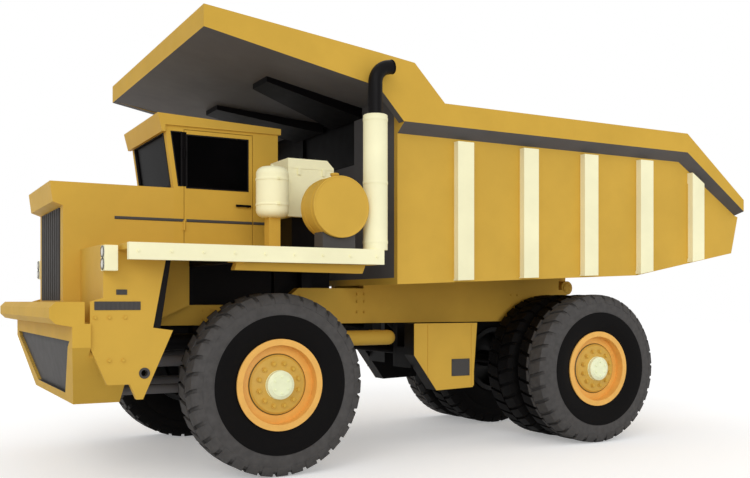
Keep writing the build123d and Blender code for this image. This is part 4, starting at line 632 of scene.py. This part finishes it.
# ---- Power train, axles and struts -------------------------------------------------------------------------
# Cast iron blocks and housings, painted over and dulled by oil mist and dust; the hoists' rods are ground
# steel, and the axle beam and steering parts are sprayed dark grey.  Two radius rods on each side, from a
# plate on the beam's front to the back of the bumper, hold the beam fore and aft.
paint(dark_enamel, "front_axle", "knuckle_left", "knuckle_right", "tie_rod")
paint(ground_steel, "hoist_stage_left", "hoist_stage_right", "hoist_rod_left", "hoist_rod_right")
# black that keeps a faint sheen, so that round parts still show their form
black_enamel = sprayed_enamel("black enamel", BLACK, dull=0.55, shine=0.05)
paint(black_enamel, "drive_shaft", "suspension_struts", "hoist_barrel_left", "hoist_barrel_right")

# a dull near-black, which also stands as painted shade under the hood and deck, pitted like the sand that
# the iron was cast in
GRIT = 1000 / 11.1            # the pits
cast_iron, here = blank("oiled cast iron")
grit, iron_colour = mottle(cast_iron, here, GRIT, 6.0, linear("#080707"), linear("#141213"), 0.7)
iron_rough = add(cast_iron, "ShaderNodeMapRange", {"To Min": 0.6, "To Max": 0.85}, {"Value": grit})
iron_bump = add(cast_iron, "ShaderNodeBump", {"Strength": 0.25, "Distance": 0.003}, {"Height": grit})
finish_surface(cast_iron, iron_colour, iron_rough, iron_bump, {"Specular IOR Level": 0.15})
paint(cast_iron, "engine_block", "transmission", "rear_axle")

BUMPER_BACK = FRONT_AXLE + 1.62
BEAM_FRONT = FRONT_AXLE + 0.12
ROD_LENGTH = BUMPER_BACK + 0.004 - BEAM_FRONT
RADIUS_ROD_Y = 0.62
RADIUS_RODS = ((1.252, 0.068), (0.918, 0.055))    # height and radius of the upper and the lower rod
ROD_PLATE_Z = (0.84, 1.34)
COLLAR = 0.014                # how far each rod's end collars stand out
# painted a little lighter than the beam behind the rods, as painted light against the shade under the truck
rod_lightened_enamel = sprayed_enamel("radius rod enamel", "#6c6a6b", dull=0.6, shine=0.04)
mesh = bmesh.new()
for sign in (1, -1):
    add_block(mesh, (BEAM_FRONT - 0.03, sign * RADIUS_ROD_Y - 0.1, ROD_PLATE_Z[0]),
              (BEAM_FRONT + 0.03, sign * RADIUS_ROD_Y + 0.1, ROD_PLATE_Z[1]))
    for height, radius in RADIUS_RODS:
        turn_about(mesh, (BEAM_FRONT, sign * RADIUS_ROD_Y, height), (1, 0, 0),
                   [(radius + COLLAR, 0.0), (radius + COLLAR, 0.05), (radius, 0.06),
                    (radius, ROD_LENGTH - 0.06), (radius + COLLAR, ROD_LENGTH - 0.05),
                    (radius + COLLAR, ROD_LENGTH)], 32)
build_piece("radius_rods", mesh, rod_lightened_enamel, "chassis")

# ---- Side tanks and tubes ----------------------------------------------------------------------------------
# Welded plate tanks hung outside the rails, the right one further back, each with a dark inspection plate
# and two straps; closed steel tubes run ahead of them under the rails.  Only the tanks' outer faces are
# mustard: their other sides and their hangers, and the tubes' brackets and fore ends, are painted black as
# painted shade.
TUBE_INNER_Y = 0.519
TUBE_TOP_Z = 1.578
TANK_FACE_Y = 1.1
RIGHT_TANK_BACK = 0.27


def tube_shade_mask(material):
    """1 for black painted shade: on the brackets, above the tube or in from it, and on the tubes ahead of the
    front axle.
    """
    inner = within_box(material, {"out": (None, TUBE_INNER_Y)})
    above = within_box(material, {"Z": (TUBE_TOP_Z, None)})
    bracket = add(material, "ShaderNodeMath", {"operation": "MAXIMUM"}, {0: inner, 1: above})
    ahead = within_box(material, {"X": (FRONT_AXLE, None)})
    return add(material, "ShaderNodeMath", {"operation": "MAXIMUM"}, {0: bracket, 1: ahead})


# the panels' yellow on what faces the light, and black painted shade on the rest, under the rails
SHADED_BEHIND_FACE = {"out": (None, TANK_FACE_Y - 0.008)}
paint(sprayed_enamel("side tank enamel", MUSTARD, [(BLACK, SHADED_BEHIND_FACE)]), "side_tanks")
paint(sprayed_enamel("side tube enamel", MUSTARD, [(BLACK, tube_shade_mask)]), "side_tubes")

CROSS_TUBE_AT = (FRONT_AXLE - 2.0, 1.592)
CROSS_TUBE_HALF = 0.53
CROSS_TUBE_R = 0.075
mesh = bmesh.new()
turn_about(mesh, (CROSS_TUBE_AT[0], -CROSS_TUBE_HALF, CROSS_TUBE_AT[1]), (0, 1, 0),
           [(CROSS_TUBE_R, 0.0), (CROSS_TUBE_R, 2 * CROSS_TUBE_HALF)], 32)
build_piece("frame_cross_tube", mesh, black_enamel, "chassis", 0.006)

PLATE_X = (-0.651, -0.36)
PLATE_Z = (0.952, 1.184)
CORNER = 0.021                # from a plate's edges in to its bolts
STRAP_FEET = ((0.0, 0.95), (-0.70, 0.81))    # X and lower end of each strap
STRAP_TOP_Z = 1.655
STRAP_HALF = 0.022
plates, straps = bmesh.new(), bmesh.new()
for sign, shift in ((1, 0.0), (-1, -RIGHT_TANK_BACK)):
    sheet = across_side(sign, TANK_FACE_Y - 0.002, TANK_FACE_Y + 0.008)
    add_block(plates, (shift + PLATE_X[0], sheet[0], PLATE_Z[0]), (shift + PLATE_X[1], sheet[1], PLATE_Z[1]))
    for x in (PLATE_X[0] + CORNER, PLATE_X[1] - CORNER):
        for z in (PLATE_Z[0] + CORNER, PLATE_Z[1] - CORNER):
            add_bolt(plates, (shift + x, sign * (TANK_FACE_Y + 0.007), z), (0, sign, 0), 0.02)
    for x, foot in STRAP_FEET:
        add_block(straps, (shift + x - STRAP_HALF, sheet[0], foot),
                  (shift + x + STRAP_HALF, sheet[1], STRAP_TOP_Z))
build_piece("tank_inspection_plates", plates, dark_enamel, "chassis", 0.002)
build_piece("tank_straps", straps, mustard_enamel, "chassis", 0.002)

# ---- Cab ---------------------------------------------------------------------------------------------------
# A welded sheet steel cab.  Its windows are dark-tinted safety glass in black rubber seals, and the pillar
# between the door's window and the quarter light is sprayed black.
SILL_Z = 3.34
HEAD_Z = 3.98
QUARTER_X = FRONT_AXLE + 0.774    # rear edge of the quarter light
DOOR_PANE_X = (FRONT_AXLE - 0.065, FRONT_AXLE + 0.714)
DOOR_PANE_Z = (3.32, 3.955)
PILLAR = {"X": (DOOR_PANE_X[1] - 0.0005, QUARTER_X + 0.0005), "Z": (SILL_Z - 0.005, HEAD_Z + 0.005),
          "out": (0.745, None)}
# the panels' yellow with less sheen, and a black pillar that joins two windows in one dark band
cab_enamel = sprayed_enamel("cab enamel", MUSTARD, [(BLACK, PILLAR)], shine=0.04)
paint(cab_enamel, "cab_shell", "door_left", "door_right")

# tinted almost to black, with a faint film of dust in broad patches
FILM = 1000 / 333             # the patches
tinted_glass, here = blank("tinted safety glass")
film, glass_colour = mottle(tinted_glass, here, FILM, 4.0, linear("#030303"), linear("#060506"))
glass_rough = add(tinted_glass, "ShaderNodeMapRange", {"To Min": 0.2, "To Max": 0.3}, {"Value": film})
finish_surface(tinted_glass, glass_colour, glass_rough, None, {"Specular IOR Level": 0.01})
paint(tinted_glass, "cab_glass", "door_glass_left", "door_glass_right")
# vinyl and plastic with a fine grain, a softer black than the paint, for what is seen through the windows
moulded_trim = sprayed_enamel("moulded black trim", "#1b1a1a", dull=0.6)
paint(moulded_trim, "cab_seat", "steering_wheel")


def add_seal(mesh, corners, outward, lap=0.010, width=0.026, proud=0.007):
    """A rubber seal round a window's corners, lapping the sheet outside and the glass inside."""
    outward = Vector(outward).normalized()
    corners = [Vector(corner) for corner in corners]
    rings = []
    for spread, lift in ((lap, -0.001), (lap, proud), (lap - width, proud), (lap - width, -0.022)):
        ring = []
        for k, corner in enumerate(corners):
            before = (corner - corners[k - 1]).normalized()
            after = (corners[(k + 1) % len(corners)] - corner).normalized()
            # both outward-pointing edge normals lie in the window's plane
            first, second = before.cross(outward), after.cross(outward)
            mitre = (first + second) / (1 + first.dot(second))
            ring.append(mesh.verts.new(corner + mitre * spread + outward * lift))
        rings.append(ring)
    for inner, outer in zip(rings, rings[1:] + rings[:1]):
        for k in range(len(corners)):
            n = (k + 1) % len(corners)
            mesh.faces.new((inner[k], inner[n], outer[n], outer[k]))


def ring_out(corners, outward):
    """The corners in the order that makes the seal's mitres point out of the window."""
    middle = sum((Vector(c) for c in corners), Vector()) / len(corners)
    first, second = Vector(corners[0]), Vector(corners[1])
    turn = (second - first).cross(Vector(outward))
    return corners if turn.dot(first - middle) > 0 else corners[::-1]


CAB_FRONT = FRONT_AXLE + 0.87
LEAN, LEAN_RISE = 0.105, 0.74    # how far the windscreen leans ahead, and over what rise
LEAN_FROM_Z = 3.31
SCREEN_HALF = 0.69
REAR_HALF = 0.45
QUARTER_SET = 0.062           # from the quarter light's front edge to the cab's
mesh = bmesh.new()
foot, top = (CAB_FRONT + LEAN * (z - LEAN_FROM_Z) / LEAN_RISE for z in (SILL_Z, HEAD_Z))
screen = [(foot, -SCREEN_HALF, SILL_Z), (foot, SCREEN_HALF, SILL_Z),
          (top, SCREEN_HALF, HEAD_Z), (top, -SCREEN_HALF, HEAD_Z)]
lean_out = (LEAN_RISE, 0.0, -LEAN)
add_seal(mesh, ring_out(screen, lean_out), lean_out)
rear_window = [(CAB_REAR, -REAR_HALF, SILL_Z), (CAB_REAR, REAR_HALF, SILL_Z),
               (CAB_REAR, REAR_HALF, HEAD_Z), (CAB_REAR, -REAR_HALF, HEAD_Z)]
add_seal(mesh, ring_out(rear_window, (-1, 0, 0)), (-1, 0, 0))
for sign in (1, -1):
    quarter = [(QUARTER_X, sign * SHEET_Y, SILL_Z), (foot - QUARTER_SET, sign * SHEET_Y, SILL_Z),
               (top - QUARTER_SET, sign * SHEET_Y, HEAD_Z), (QUARTER_X, sign * SHEET_Y, HEAD_Z)]
    add_seal(mesh, ring_out(quarter, (0, sign, 0)), (0, sign, 0), 0.006, 0.014, 0.004)
build_piece("cab_window_seals", mesh, moulded_rubber, "chassis")

GRIP_X = (FRONT_AXLE - 0.095, FRONT_AXLE + 0.102)
GRIP_Z = (3.122, 3.15)
FOOT_INSET = 0.02
FOOT_WIDTH = 0.022
for side, sign in (("left", 1), ("right", -1)):
    mesh = bmesh.new()
    pane = [(DOOR_PANE_X[a], sign * SHEET_Y, DOOR_PANE_Z[b]) for a, b in ((0, 0), (1, 0), (1, 1), (0, 1))]
    add_seal(mesh, ring_out(pane, (0, sign, 0)), (0, sign, 0), 0.006, 0.016, 0.004)
    build_piece(f"door_window_seal_{side}", mesh, moulded_rubber, f"{side}_door")
    mesh = bmesh.new()
    foot_y = across_side(sign, SHEET_Y - 0.001, SHEET_Y + 0.026)
    grip_y = across_side(sign, SHEET_Y + 0.02, SHEET_Y + 0.034)
    for x in (GRIP_X[0] + FOOT_INSET, GRIP_X[1] - FOOT_INSET - FOOT_WIDTH):
        add_block(mesh, (x, foot_y[0], GRIP_Z[0]), (x + FOOT_WIDTH, foot_y[1], GRIP_Z[1]))
    add_block(mesh, (GRIP_X[0], grip_y[0], GRIP_Z[0]), (GRIP_X[1], grip_y[1], GRIP_Z[1]))
    build_piece(f"door_handle_{side}", mesh, black_enamel, f"{side}_door", 0.003)

# ---- Exhausts ----------------------------------------------------------------------------------------------
# A cream heat shroud round the silencer, clamped at its ends, and a black pipe that bends to the rear
# above it and is cut off square.
SHROUD_TOP = 4.081
SHROUD_R = 0.14
SHROUD_CLAMPS = (2.64, 3.315, 4.035)
STACK_AT = (FRONT_AXLE - 1.035, 2.3)
PIPE_R = 0.082
BEND_R = 0.2
BEND_FROM_Z = 4.46
BEND_TURN = math.radians(78)
PIPE_DIRECTION = Vector((-math.sin(BEND_TURN), 0, math.cos(BEND_TURN)))
TAIL = 0.06                   # straight pipe after the bend
# a smoother off-white with a soft highlight down the shroud, and black above it
paint(sprayed_enamel("exhaust enamel", CREAM, [(BLACK, {"Z": (SHROUD_TOP, None)})], dull=0.4),
      "exhaust_stacks")
bend_end = Vector((STACK_AT[0] - BEND_R * (1 - math.cos(BEND_TURN)), 0,
                   BEND_FROM_Z + BEND_R * math.sin(BEND_TURN)))
mesh, mouths = bmesh.new(), bmesh.new()
for sign in (1, -1):
    for height in SHROUD_CLAMPS:
        add_band(mesh, (STACK_AT[0], sign * STACK_AT[1], height), (0, 0, 1), SHROUD_R, 0.016, 0.004)
    turn_about(mesh, (STACK_AT[0], sign * STACK_AT[1], SHROUD_TOP - 0.001), (0, 0, 1),
               [(SHROUD_R, -0.01), (SHROUD_R, 0.004), (0.13, 0.012), (PIPE_R + 0.006, 0.02),
                (PIPE_R, 0.02), (PIPE_R, -0.01)], 48, closed=True)
    mouth_at = bend_end + TAIL * PIPE_DIRECTION + Vector((0, sign * STACK_AT[1], 0))
    turn_about(mouths, mouth_at, PIPE_DIRECTION,
               [(PIPE_R, -0.02), (PIPE_R + 0.003, 0.0), (PIPE_R, 0.008), (PIPE_R - 0.01, 0.008),
                (PIPE_R - 0.012, 0.001), (0.02, 0.001)], 32)
build_piece("shroud_clamps", mesh, cream_enamel, "chassis")
build_piece("pipe_mouths", mouths, black_enamel, "chassis")

# ---- Dump body ---------------------------------------------------------------------------------------------
# Abrasion-resistant plate, welded and sprayed.  The undersides of the rails and canopy, and the front wall
# behind the cab, are painted dark grey, and the wall's middle and the broad stiffeners below the canopy
# black, all as painted shade; the ribs are cream.
# grey painted shade for the undersides and the front wall
UNDERSIDE_SHADE_GREY = "#605e5f"    # a lighter mix than the fittings' grey
TURNED_DOWN = -0.42           # Z of the normal of a face that slopes down by 25 degrees
WALL_FRONT_X = 0.905
WALL_SHADOW_FROM_Z = 3.75
WALL_SHADOW_TO_Y = 0.82


def facing_down_shade(material):
    """1 where the surface turns downwards, which gets grey painted shade."""
    shape = add(material, "ShaderNodeNewGeometry")
    turned = add(material, "ShaderNodeVectorTransform",
                 {"vector_type": "NORMAL", "convert_from": "WORLD", "convert_to": "OBJECT"},
                 {"Vector": (shape, "True Normal")})
    split = add(material, "ShaderNodeSeparateXYZ", links={0: turned})
    return add(material, "ShaderNodeMath", {"operation": "LESS_THAN", 1: TURNED_DOWN}, {0: (split, "Z")})


# the panels' yellow with less sheen, and grey painted shade on the undersides, light enough not to look black
rail_enamel = sprayed_enamel("rail enamel", MUSTARD, [(UNDERSIDE_SHADE_GREY, facing_down_shade)], shine=0.04)
# mustard inside the body, dark grey painted shade ahead of the wall, and black painted shadow in the middle
# and across to the right
WALL_AHEAD_SHADE = {"X": (WALL_FRONT_X, None)}
WALL_MIDDLE_SHADOW = {"X": (WALL_FRONT_X, None), "Y": (None, WALL_SHADOW_TO_Y), "Z": (WALL_SHADOW_FROM_Z, None)}
wall_enamel = sprayed_enamel("front wall enamel", MUSTARD,
                             [(UNDERSIDE_SHADE_GREY, WALL_AHEAD_SHADE), (BLACK, WALL_MIDDLE_SHADOW)], shine=0.04)
paint(rail_enamel, "body_rails", "body_canopy")
paint(wall_enamel, "body_front_wall")
paint(mustard_enamel, "body_floor", "body_sides")
# black painted shade on the stiffeners below the canopy
paint(black_enamel, "canopy_stiffeners")
paint(cream_enamel, "body_ribs")

RIB_PITCH = 1.021
RIB_HALF = 0.12
FIRST_RIB_X = REAR_AXLE + 2.382    # middle of the foremost rib
# heights of each rib's foot and top, from the front
RIB_ENDS = ((2.24, 3.94), (2.28, 3.94), (2.325, 3.94), (2.4, 3.94), (2.59, 3.68))
WELD_Y = 1.951
WELD_R = 0.011
mesh = bmesh.new()
for rib, (foot, top) in enumerate(RIB_ENDS):
    middle = FIRST_RIB_X - RIB_PITCH * rib
    for edge in (-RIB_HALF, RIB_HALF):
        for sign in (1, -1):
            turn_about(mesh, (middle + edge, sign * WELD_Y, foot), (0, 0, 1),
                       [(WELD_R, 0.0), (WELD_R, top - foot)], 8)
build_piece("rib_welds", mesh, mustard_enamel, "dump_body")

# ---- Tyres -------------------------------------------------------------------------------------------------
# Earthmover tyres moulded in black rubber: a smooth bulged sidewall and a deep block tread, whose bars
# run from the middle out over each shoulder, staggered from side to side.
front_low, front_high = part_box("front_tyre_left")
rear_low, rear_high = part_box("rear_tyres_left")
TYRE_R = (front_high[2] - front_low[2]) / 2
TYRE_HALF = 0.295
FRONT_X = (front_low[0] + front_high[0]) / 2
FRONT_Y = (front_low[1] + front_high[1]) / 2
REAR_X = (rear_low[0] + rear_high[0]) / 2
DUAL_OUTER_Y = rear_high[1] - TYRE_HALF
DUAL_INNER_Y = rear_low[1] + TYRE_HALF
BEAD_R = 0.482
GROOVE_DEPTH = 0.034
BARS = 34                     # tread bars to a side
BAR_SHARE = 0.74              # of a bar's pitch that is rubber, the rest is groove
BAR_SKEW = math.radians(4.5)  # a bar's outer end trails its inner end
DUST = 1000 / 71.4            # patches of road dust
MOULD_GRAIN = 1000 / 4.5      # the mould's coarse grain
# grey dust and painted light outside this, and black painted shade on the sidewall's ring inside it
DUSTY_AND_LIT_FROM = 0.76             # of the tyre's radius: the sidewall's own ring inside it stays black


def tyre_rubber(name, axle_x, dusty_and_lit_from):
    """Vulcanised rubber, dull and grey with road dust and painted light on the tread and shoulders, and a
    deep black painted shade in the ring next to the rim and inboard of the given distance out."""
    material, here = blank(name)
    dust, grey = mottle(material, here, DUST, 6.0, faded(DARK_GREY, 0.85), faded(DARK_GREY, 1.1))
    black = add(material, "ShaderNodeValToRGB",
                {"stops": zip(TONES, (linear("#040303"), linear("#0a0808")))}, {"Fac": dust})
    outside = add(material, "ShaderNodeMath", {"operation": "GREATER_THAN", 1: DUSTY_AND_LIT_FROM * TYRE_R},
                  {0: reach_from(material, axle_x, TYRE_R)})
    outer = within_box(material, {"out": (dusty_and_lit_from, None)})
    ring = add(material, "ShaderNodeMath", {"operation": "MULTIPLY"}, {0: outside, 1: outer})
    colour = add(material, "ShaderNodeMix", {"data_type": "RGBA"}, {0: ring, 6: black, 7: grey})
    rough = add(material, "ShaderNodeMapRange", {"To Min": 0.6, "To Max": 0.85}, {"Value": dust})
    grain = add(material, "ShaderNodeTexNoise", {"Scale": MOULD_GRAIN, "Detail": 2.0, "Roughness": 0.55},
                {"Vector": here})
    bump = add(material, "ShaderNodeBump", {"Strength": 0.12, "Distance": 0.002}, {"Height": grain})
    finish_surface(material, (colour, 2), rough, bump, {"Specular IOR Level": 0.1})
    return material


def wheel_point(axle_x, middle_y, radius, offset, angle):
    """A point on a wheel, from its radius, its offset along the axle and its angle."""
    return Vector((axle_x + radius * math.cos(angle), middle_y + offset, TYRE_R + radius * math.sin(angle)))


def sidewall(sign):
    """One side of the casing from the bead to the shoulder, bulging like the real carcass: each point's
    radius and distance from the tyre's middle."""
    points = [(BEAD_R, 0.22), (0.515, 0.236), (0.56, 0.255), (0.60, 0.272), (0.68, 0.289),
              (0.77, TYRE_HALF), (0.782, 0.2935), (0.789, 0.288), (0.80, 0.293), (0.86, 0.291),
              (0.92, 0.284), (0.965, 0.270)]
    return [(radius, sign * offset) for radius, offset in points]


def add_tread_bar(mesh, axle_x, middle_y, sign, angle, width):
    """One raised bar of the tread, from near the middle out over the shoulder, with its root sunk in the
    casing.  Each station is a distance from the tyre's middle and the bar's height there as a radius."""
    stations = [(0.012, TYRE_R - 0.003), (0.09, TYRE_R), (0.17, TYRE_R), (0.232, TYRE_R - 0.004),
                (0.274, TYRE_R - 0.047), (0.290, 0.915)]
    rows = []
    for offset, radius in stations:
        lean = BAR_SKEW * offset / stations[-1][0]
        sunk = max(radius - GROOVE_DEPTH - 0.012, 0.90)
        inner = offset - (0.03 if radius < TYRE_R - 0.02 else 0.0)
        rows.append([mesh.verts.new(wheel_point(axle_x, middle_y, r, sign * o,
                                                angle + lean + side * width / 2))
                     for side in (-1, 1) for r, o in ((radius, offset), (sunk, inner))])
    for here, after in zip(rows, rows[1:]):
        for a, b in ((0, 2), (2, 3), (3, 1), (1, 0)):
            mesh.faces.new((here[a], here[b], after[b], after[a]))
    mesh.faces.new((rows[0][0], rows[0][1], rows[0][3], rows[0][2]))
    mesh.faces.new((rows[-1][0], rows[-1][2], rows[-1][3], rows[-1][1]))


def dress_tyres(name, node, axle_x, middles, body, rubber):
    """The casing and tread of the tyres on one wheel body."""
    mesh = bmesh.new()
    pitch = 2 * math.pi / BARS
    groove_r = TYRE_R - GROOVE_DEPTH
    profile = sidewall(1) + [(groove_r, 0.225), (groove_r, -0.225)] + sidewall(-1)[::-1]
    for middle_y in middles:
        turn_about(mesh, (axle_x, middle_y, TYRE_R), (0, 1, 0), profile, 96, closed=True)
        for bar in range(BARS):
            for sign, stagger in ((1, 0.0), (-1, 0.5)):
                add_tread_bar(mesh, axle_x, middle_y, sign, (bar + stagger) * pitch, BAR_SHARE * pitch)
    piece = build_piece(name, mesh, rubber, body)
    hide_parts(node)


front_rubber = tyre_rubber("front tyre rubber", FRONT_X, FRONT_Y - 0.2)
rear_rubber = tyre_rubber("rear tyre rubber", REAR_X, DUAL_OUTER_Y - 0.05)
for side, sign in (("left", 1), ("right", -1)):
    dress_tyres(f"front_tyre_tread_{side}", f"front_tyre_{side}", FRONT_X, [sign * FRONT_Y],
                f"{side}_front_wheel", front_rubber)
    dress_tyres(f"rear_tyre_tread_{side}", f"rear_tyres_{side}", REAR_X,
                [sign * DUAL_OUTER_Y, sign * DUAL_INNER_Y], f"{side}_rear_wheels", rear_rubber)

# ---- Rims --------------------------------------------------------------------------------------------------
# Pressed steel rims on bolted hubs, sprayed in rings of orange, mustard and cream.  Inboard of the dish
# they are painted black as painted shade.
RIM_ORANGE = "#efb65c"
HUB_MUSTARD = "#d2a748"
LINE_BROWN = "#554f2d"
CAP_CREAM = "#f3f7cf"
RINGS = ((0.0, CAP_CREAM), (0.162, HUB_MUSTARD), (0.334, LINE_BROWN), (0.345, RIM_ORANGE))    # inner radii
RIM_DUST = 1000 / 111         # a thin veil of dust


def rim_enamel(name, axle_x, dish):
    """Enamel sprayed in rings, smoother than the panels' and barely dulled: a cream cap, a mustard hub, a
    dark gutter line and a bright orange rim, and black painted shade inboard of the dish."""
    material, here = blank(name)
    bands = add(material, "ShaderNodeValToRGB", {"stops": [(radius, linear(code)) for radius, code in RINGS]},
                {"Fac": reach_from(material, axle_x, TYRE_R)})
    bands.color_ramp.interpolation = "CONSTANT"
    dust, tone = mottle(material, here, RIM_DUST, 6.0, linear("#f6f6f6"), linear("#ffffff"))
    rings = add(material, "ShaderNodeMix", {"data_type": "RGBA", "blend_type": "MULTIPLY", 0: 1.0},
                {6: bands, 7: tone})
    black = add(material, "ShaderNodeValToRGB", {"stops": zip(TONES, (linear(BLACK), faded(BLACK, 1.4)))},
                {"Fac": dust})
    # black painted shade inboard of the dish
    mask = within_box(material, {"out": (None, dish)})
    colour = add(material, "ShaderNodeMix", {"data_type": "RGBA"}, {0: mask, 6: (rings, 2), 7: black})
    rough = add(material, "ShaderNodeMapRange", {"To Min": 0.35, "To Max": 0.5}, {"Value": dust})
    finish_surface(material, (colour, 2), rough, None, {"Specular IOR Level": 0.3})
    return material


paint(rim_enamel("front rim enamel", FRONT_X, 1.835), "front_rim_left", "front_rim_right")
paint(rim_enamel("rear rim enamel", REAR_X, 1.66), "rear_rims_left", "rear_rims_right")

# ---- Wheel nuts --------------------------------------------------------------------------------------------
# Forged steel nuts on the hub's studs clamp the rim, and small set screws hold the cap over the bearing.
# All are sprayed over with the hub.
# the same tones as the hub and the cap, with the panels' orange peel
hub_enamel = sprayed_enamel("hub enamel", HUB_MUSTARD)
cap_enamel = sprayed_enamel("cap enamel", CAP_CREAM)
STUDS = (12, 0.243, 0.205, 0.044)    # how many, their circle's radius, how far out, and across the corners
CAP_SCREWS = (6, 0.092, 0.29, 0.02)
for side, sign in (("left", 1), ("right", -1)):
    for wheels, axle_x, middle_y in (("front_wheel", FRONT_X, FRONT_Y),
                                     ("rear_wheels", REAR_X, DUAL_OUTER_Y)):
        nuts, screws = bmesh.new(), bmesh.new()
        for mesh, (count, radius, out, across) in ((nuts, STUDS), (screws, CAP_SCREWS)):
            for turn in range(count):
                angle = 2 * math.pi * (turn + 0.5) / count
                spot = wheel_point(axle_x, sign * middle_y, radius, sign * out, angle)
                add_bolt(mesh, spot, (0, sign, 0), across)
        build_piece(f"{wheels}_nuts_{side}", nuts, hub_enamel, f"{side}_{wheels}")
        build_piece(f"{wheels}_cap_screws_{side}", screws, cap_enamel, f"{side}_{wheels}")

# ---- Ground, light and camera ------------------------------------------------------------------------------
# A plain white studio floor under soft, even light.  The camera stands ahead of the truck's left front
# corner, at about the height of a person's eyes.
FLOOR_HALF = 60.0
ground_mesh = bpy.data.meshes.new("studio_floor")
ground_mesh.from_pydata([(-FLOOR_HALF, -FLOOR_HALF, 0), (FLOOR_HALF, -FLOOR_HALF, 0),
                         (FLOOR_HALF, FLOOR_HALF, 0), (-FLOOR_HALF, FLOOR_HALF, 0)], [], [(0, 1, 2, 3)])
studio_floor = bpy.data.objects.new("studio_floor", ground_mesh)
bpy.context.collection.objects.link(studio_floor)


def background_ray(material):
    """1 for the rays that show the background: straight from the camera, mirrored, or through glass."""
    ray = add(material, "ShaderNodeLightPath")
    seen = add(material, "ShaderNodeMath", {"operation": "MAXIMUM"},
               {0: (ray, "Is Camera Ray"), 1: (ray, "Is Glossy Ray")})
    return add(material, "ShaderNodeMath", {"operation": "MAXIMUM"},
               {0: seen, 1: (ray, "Is Transmission Ray")})


# white where it is seen, and a plain pale floor to the light that falls on the truck
FLOOR_GLOW = 0.3              # brings the floor that is seen up to white and keeps the truck's shadow
white_floor, here = blank("white floor")
lit_floor = add(white_floor, "ShaderNodeBsdfDiffuse", {"Color": linear("#ededed")})
shown_floor = add(white_floor, "ShaderNodeBsdfDiffuse", {"Color": linear("#f9f9f9")})
glow = add(white_floor, "ShaderNodeEmission", {"Strength": FLOOR_GLOW})
glowing = add(white_floor, "ShaderNodeAddShader", links={0: shown_floor, 1: glow})
floor_mix = add(white_floor, "ShaderNodeMixShader",
                links={0: background_ray(white_floor), 1: lit_floor, 2: glowing})
add(white_floor, "ShaderNodeOutputMaterial", links={"Surface": floor_mix})
ground_mesh.materials.append(white_floor)

FILL = 0.7
studio = bpy.data.worlds.new("studio")
studio.use_nodes = True
studio.node_tree.nodes.clear()
bpy.context.scene.world = studio
fill_light = add(studio, "ShaderNodeBackground", {"Color": linear("#ffffff"), "Strength": FILL})
white_backdrop = add(studio, "ShaderNodeBackground", {"Color": linear("#ffffff"), "Strength": 1.0})
world_mix = add(studio, "ShaderNodeMixShader",
                links={0: background_ray(studio), 1: fill_light, 2: white_backdrop})
add(studio, "ShaderNodeOutputWorld", links={"Surface": world_mix})

SUN_SOFTNESS = 0.5            # radians across, as wide as a large soft box
for name, strength, tilt, turn in (("key", 0.6, 60, 138), ("left fill", 0.64, 82, 168)):
    lamp = bpy.data.lights.new(name, "SUN")
    lamp.energy = strength
    lamp.angle = SUN_SOFTNESS
    holder = bpy.data.objects.new(name, lamp)
    holder.rotation_euler = (math.radians(tilt), 0, math.radians(turn))
    bpy.context.collection.objects.link(holder)

CAMERA_AT = (6.462, 11.399, 1.968)
CAMERA_TURN = 0.501           # radians from looking straight across the truck
CAMERA_LENS = 43.63
CAMERA_RISE = 0.0828          # keeps the uprights upright with the horizon low in the frame
camera = bpy.data.cameras.new("camera")
camera.sensor_width = 36.0
camera.lens = CAMERA_LENS
camera.shift_y = CAMERA_RISE
camera_holder = bpy.data.objects.new("camera", camera)
camera_holder.location = CAMERA_AT
camera_holder.rotation_euler = (math.radians(90), 0, math.radians(180) - CAMERA_TURN)
bpy.context.collection.objects.link(camera_holder)
bpy.context.scene.camera = camera_holder
bpy.context.scene.view_settings.view_transform = "Standard"
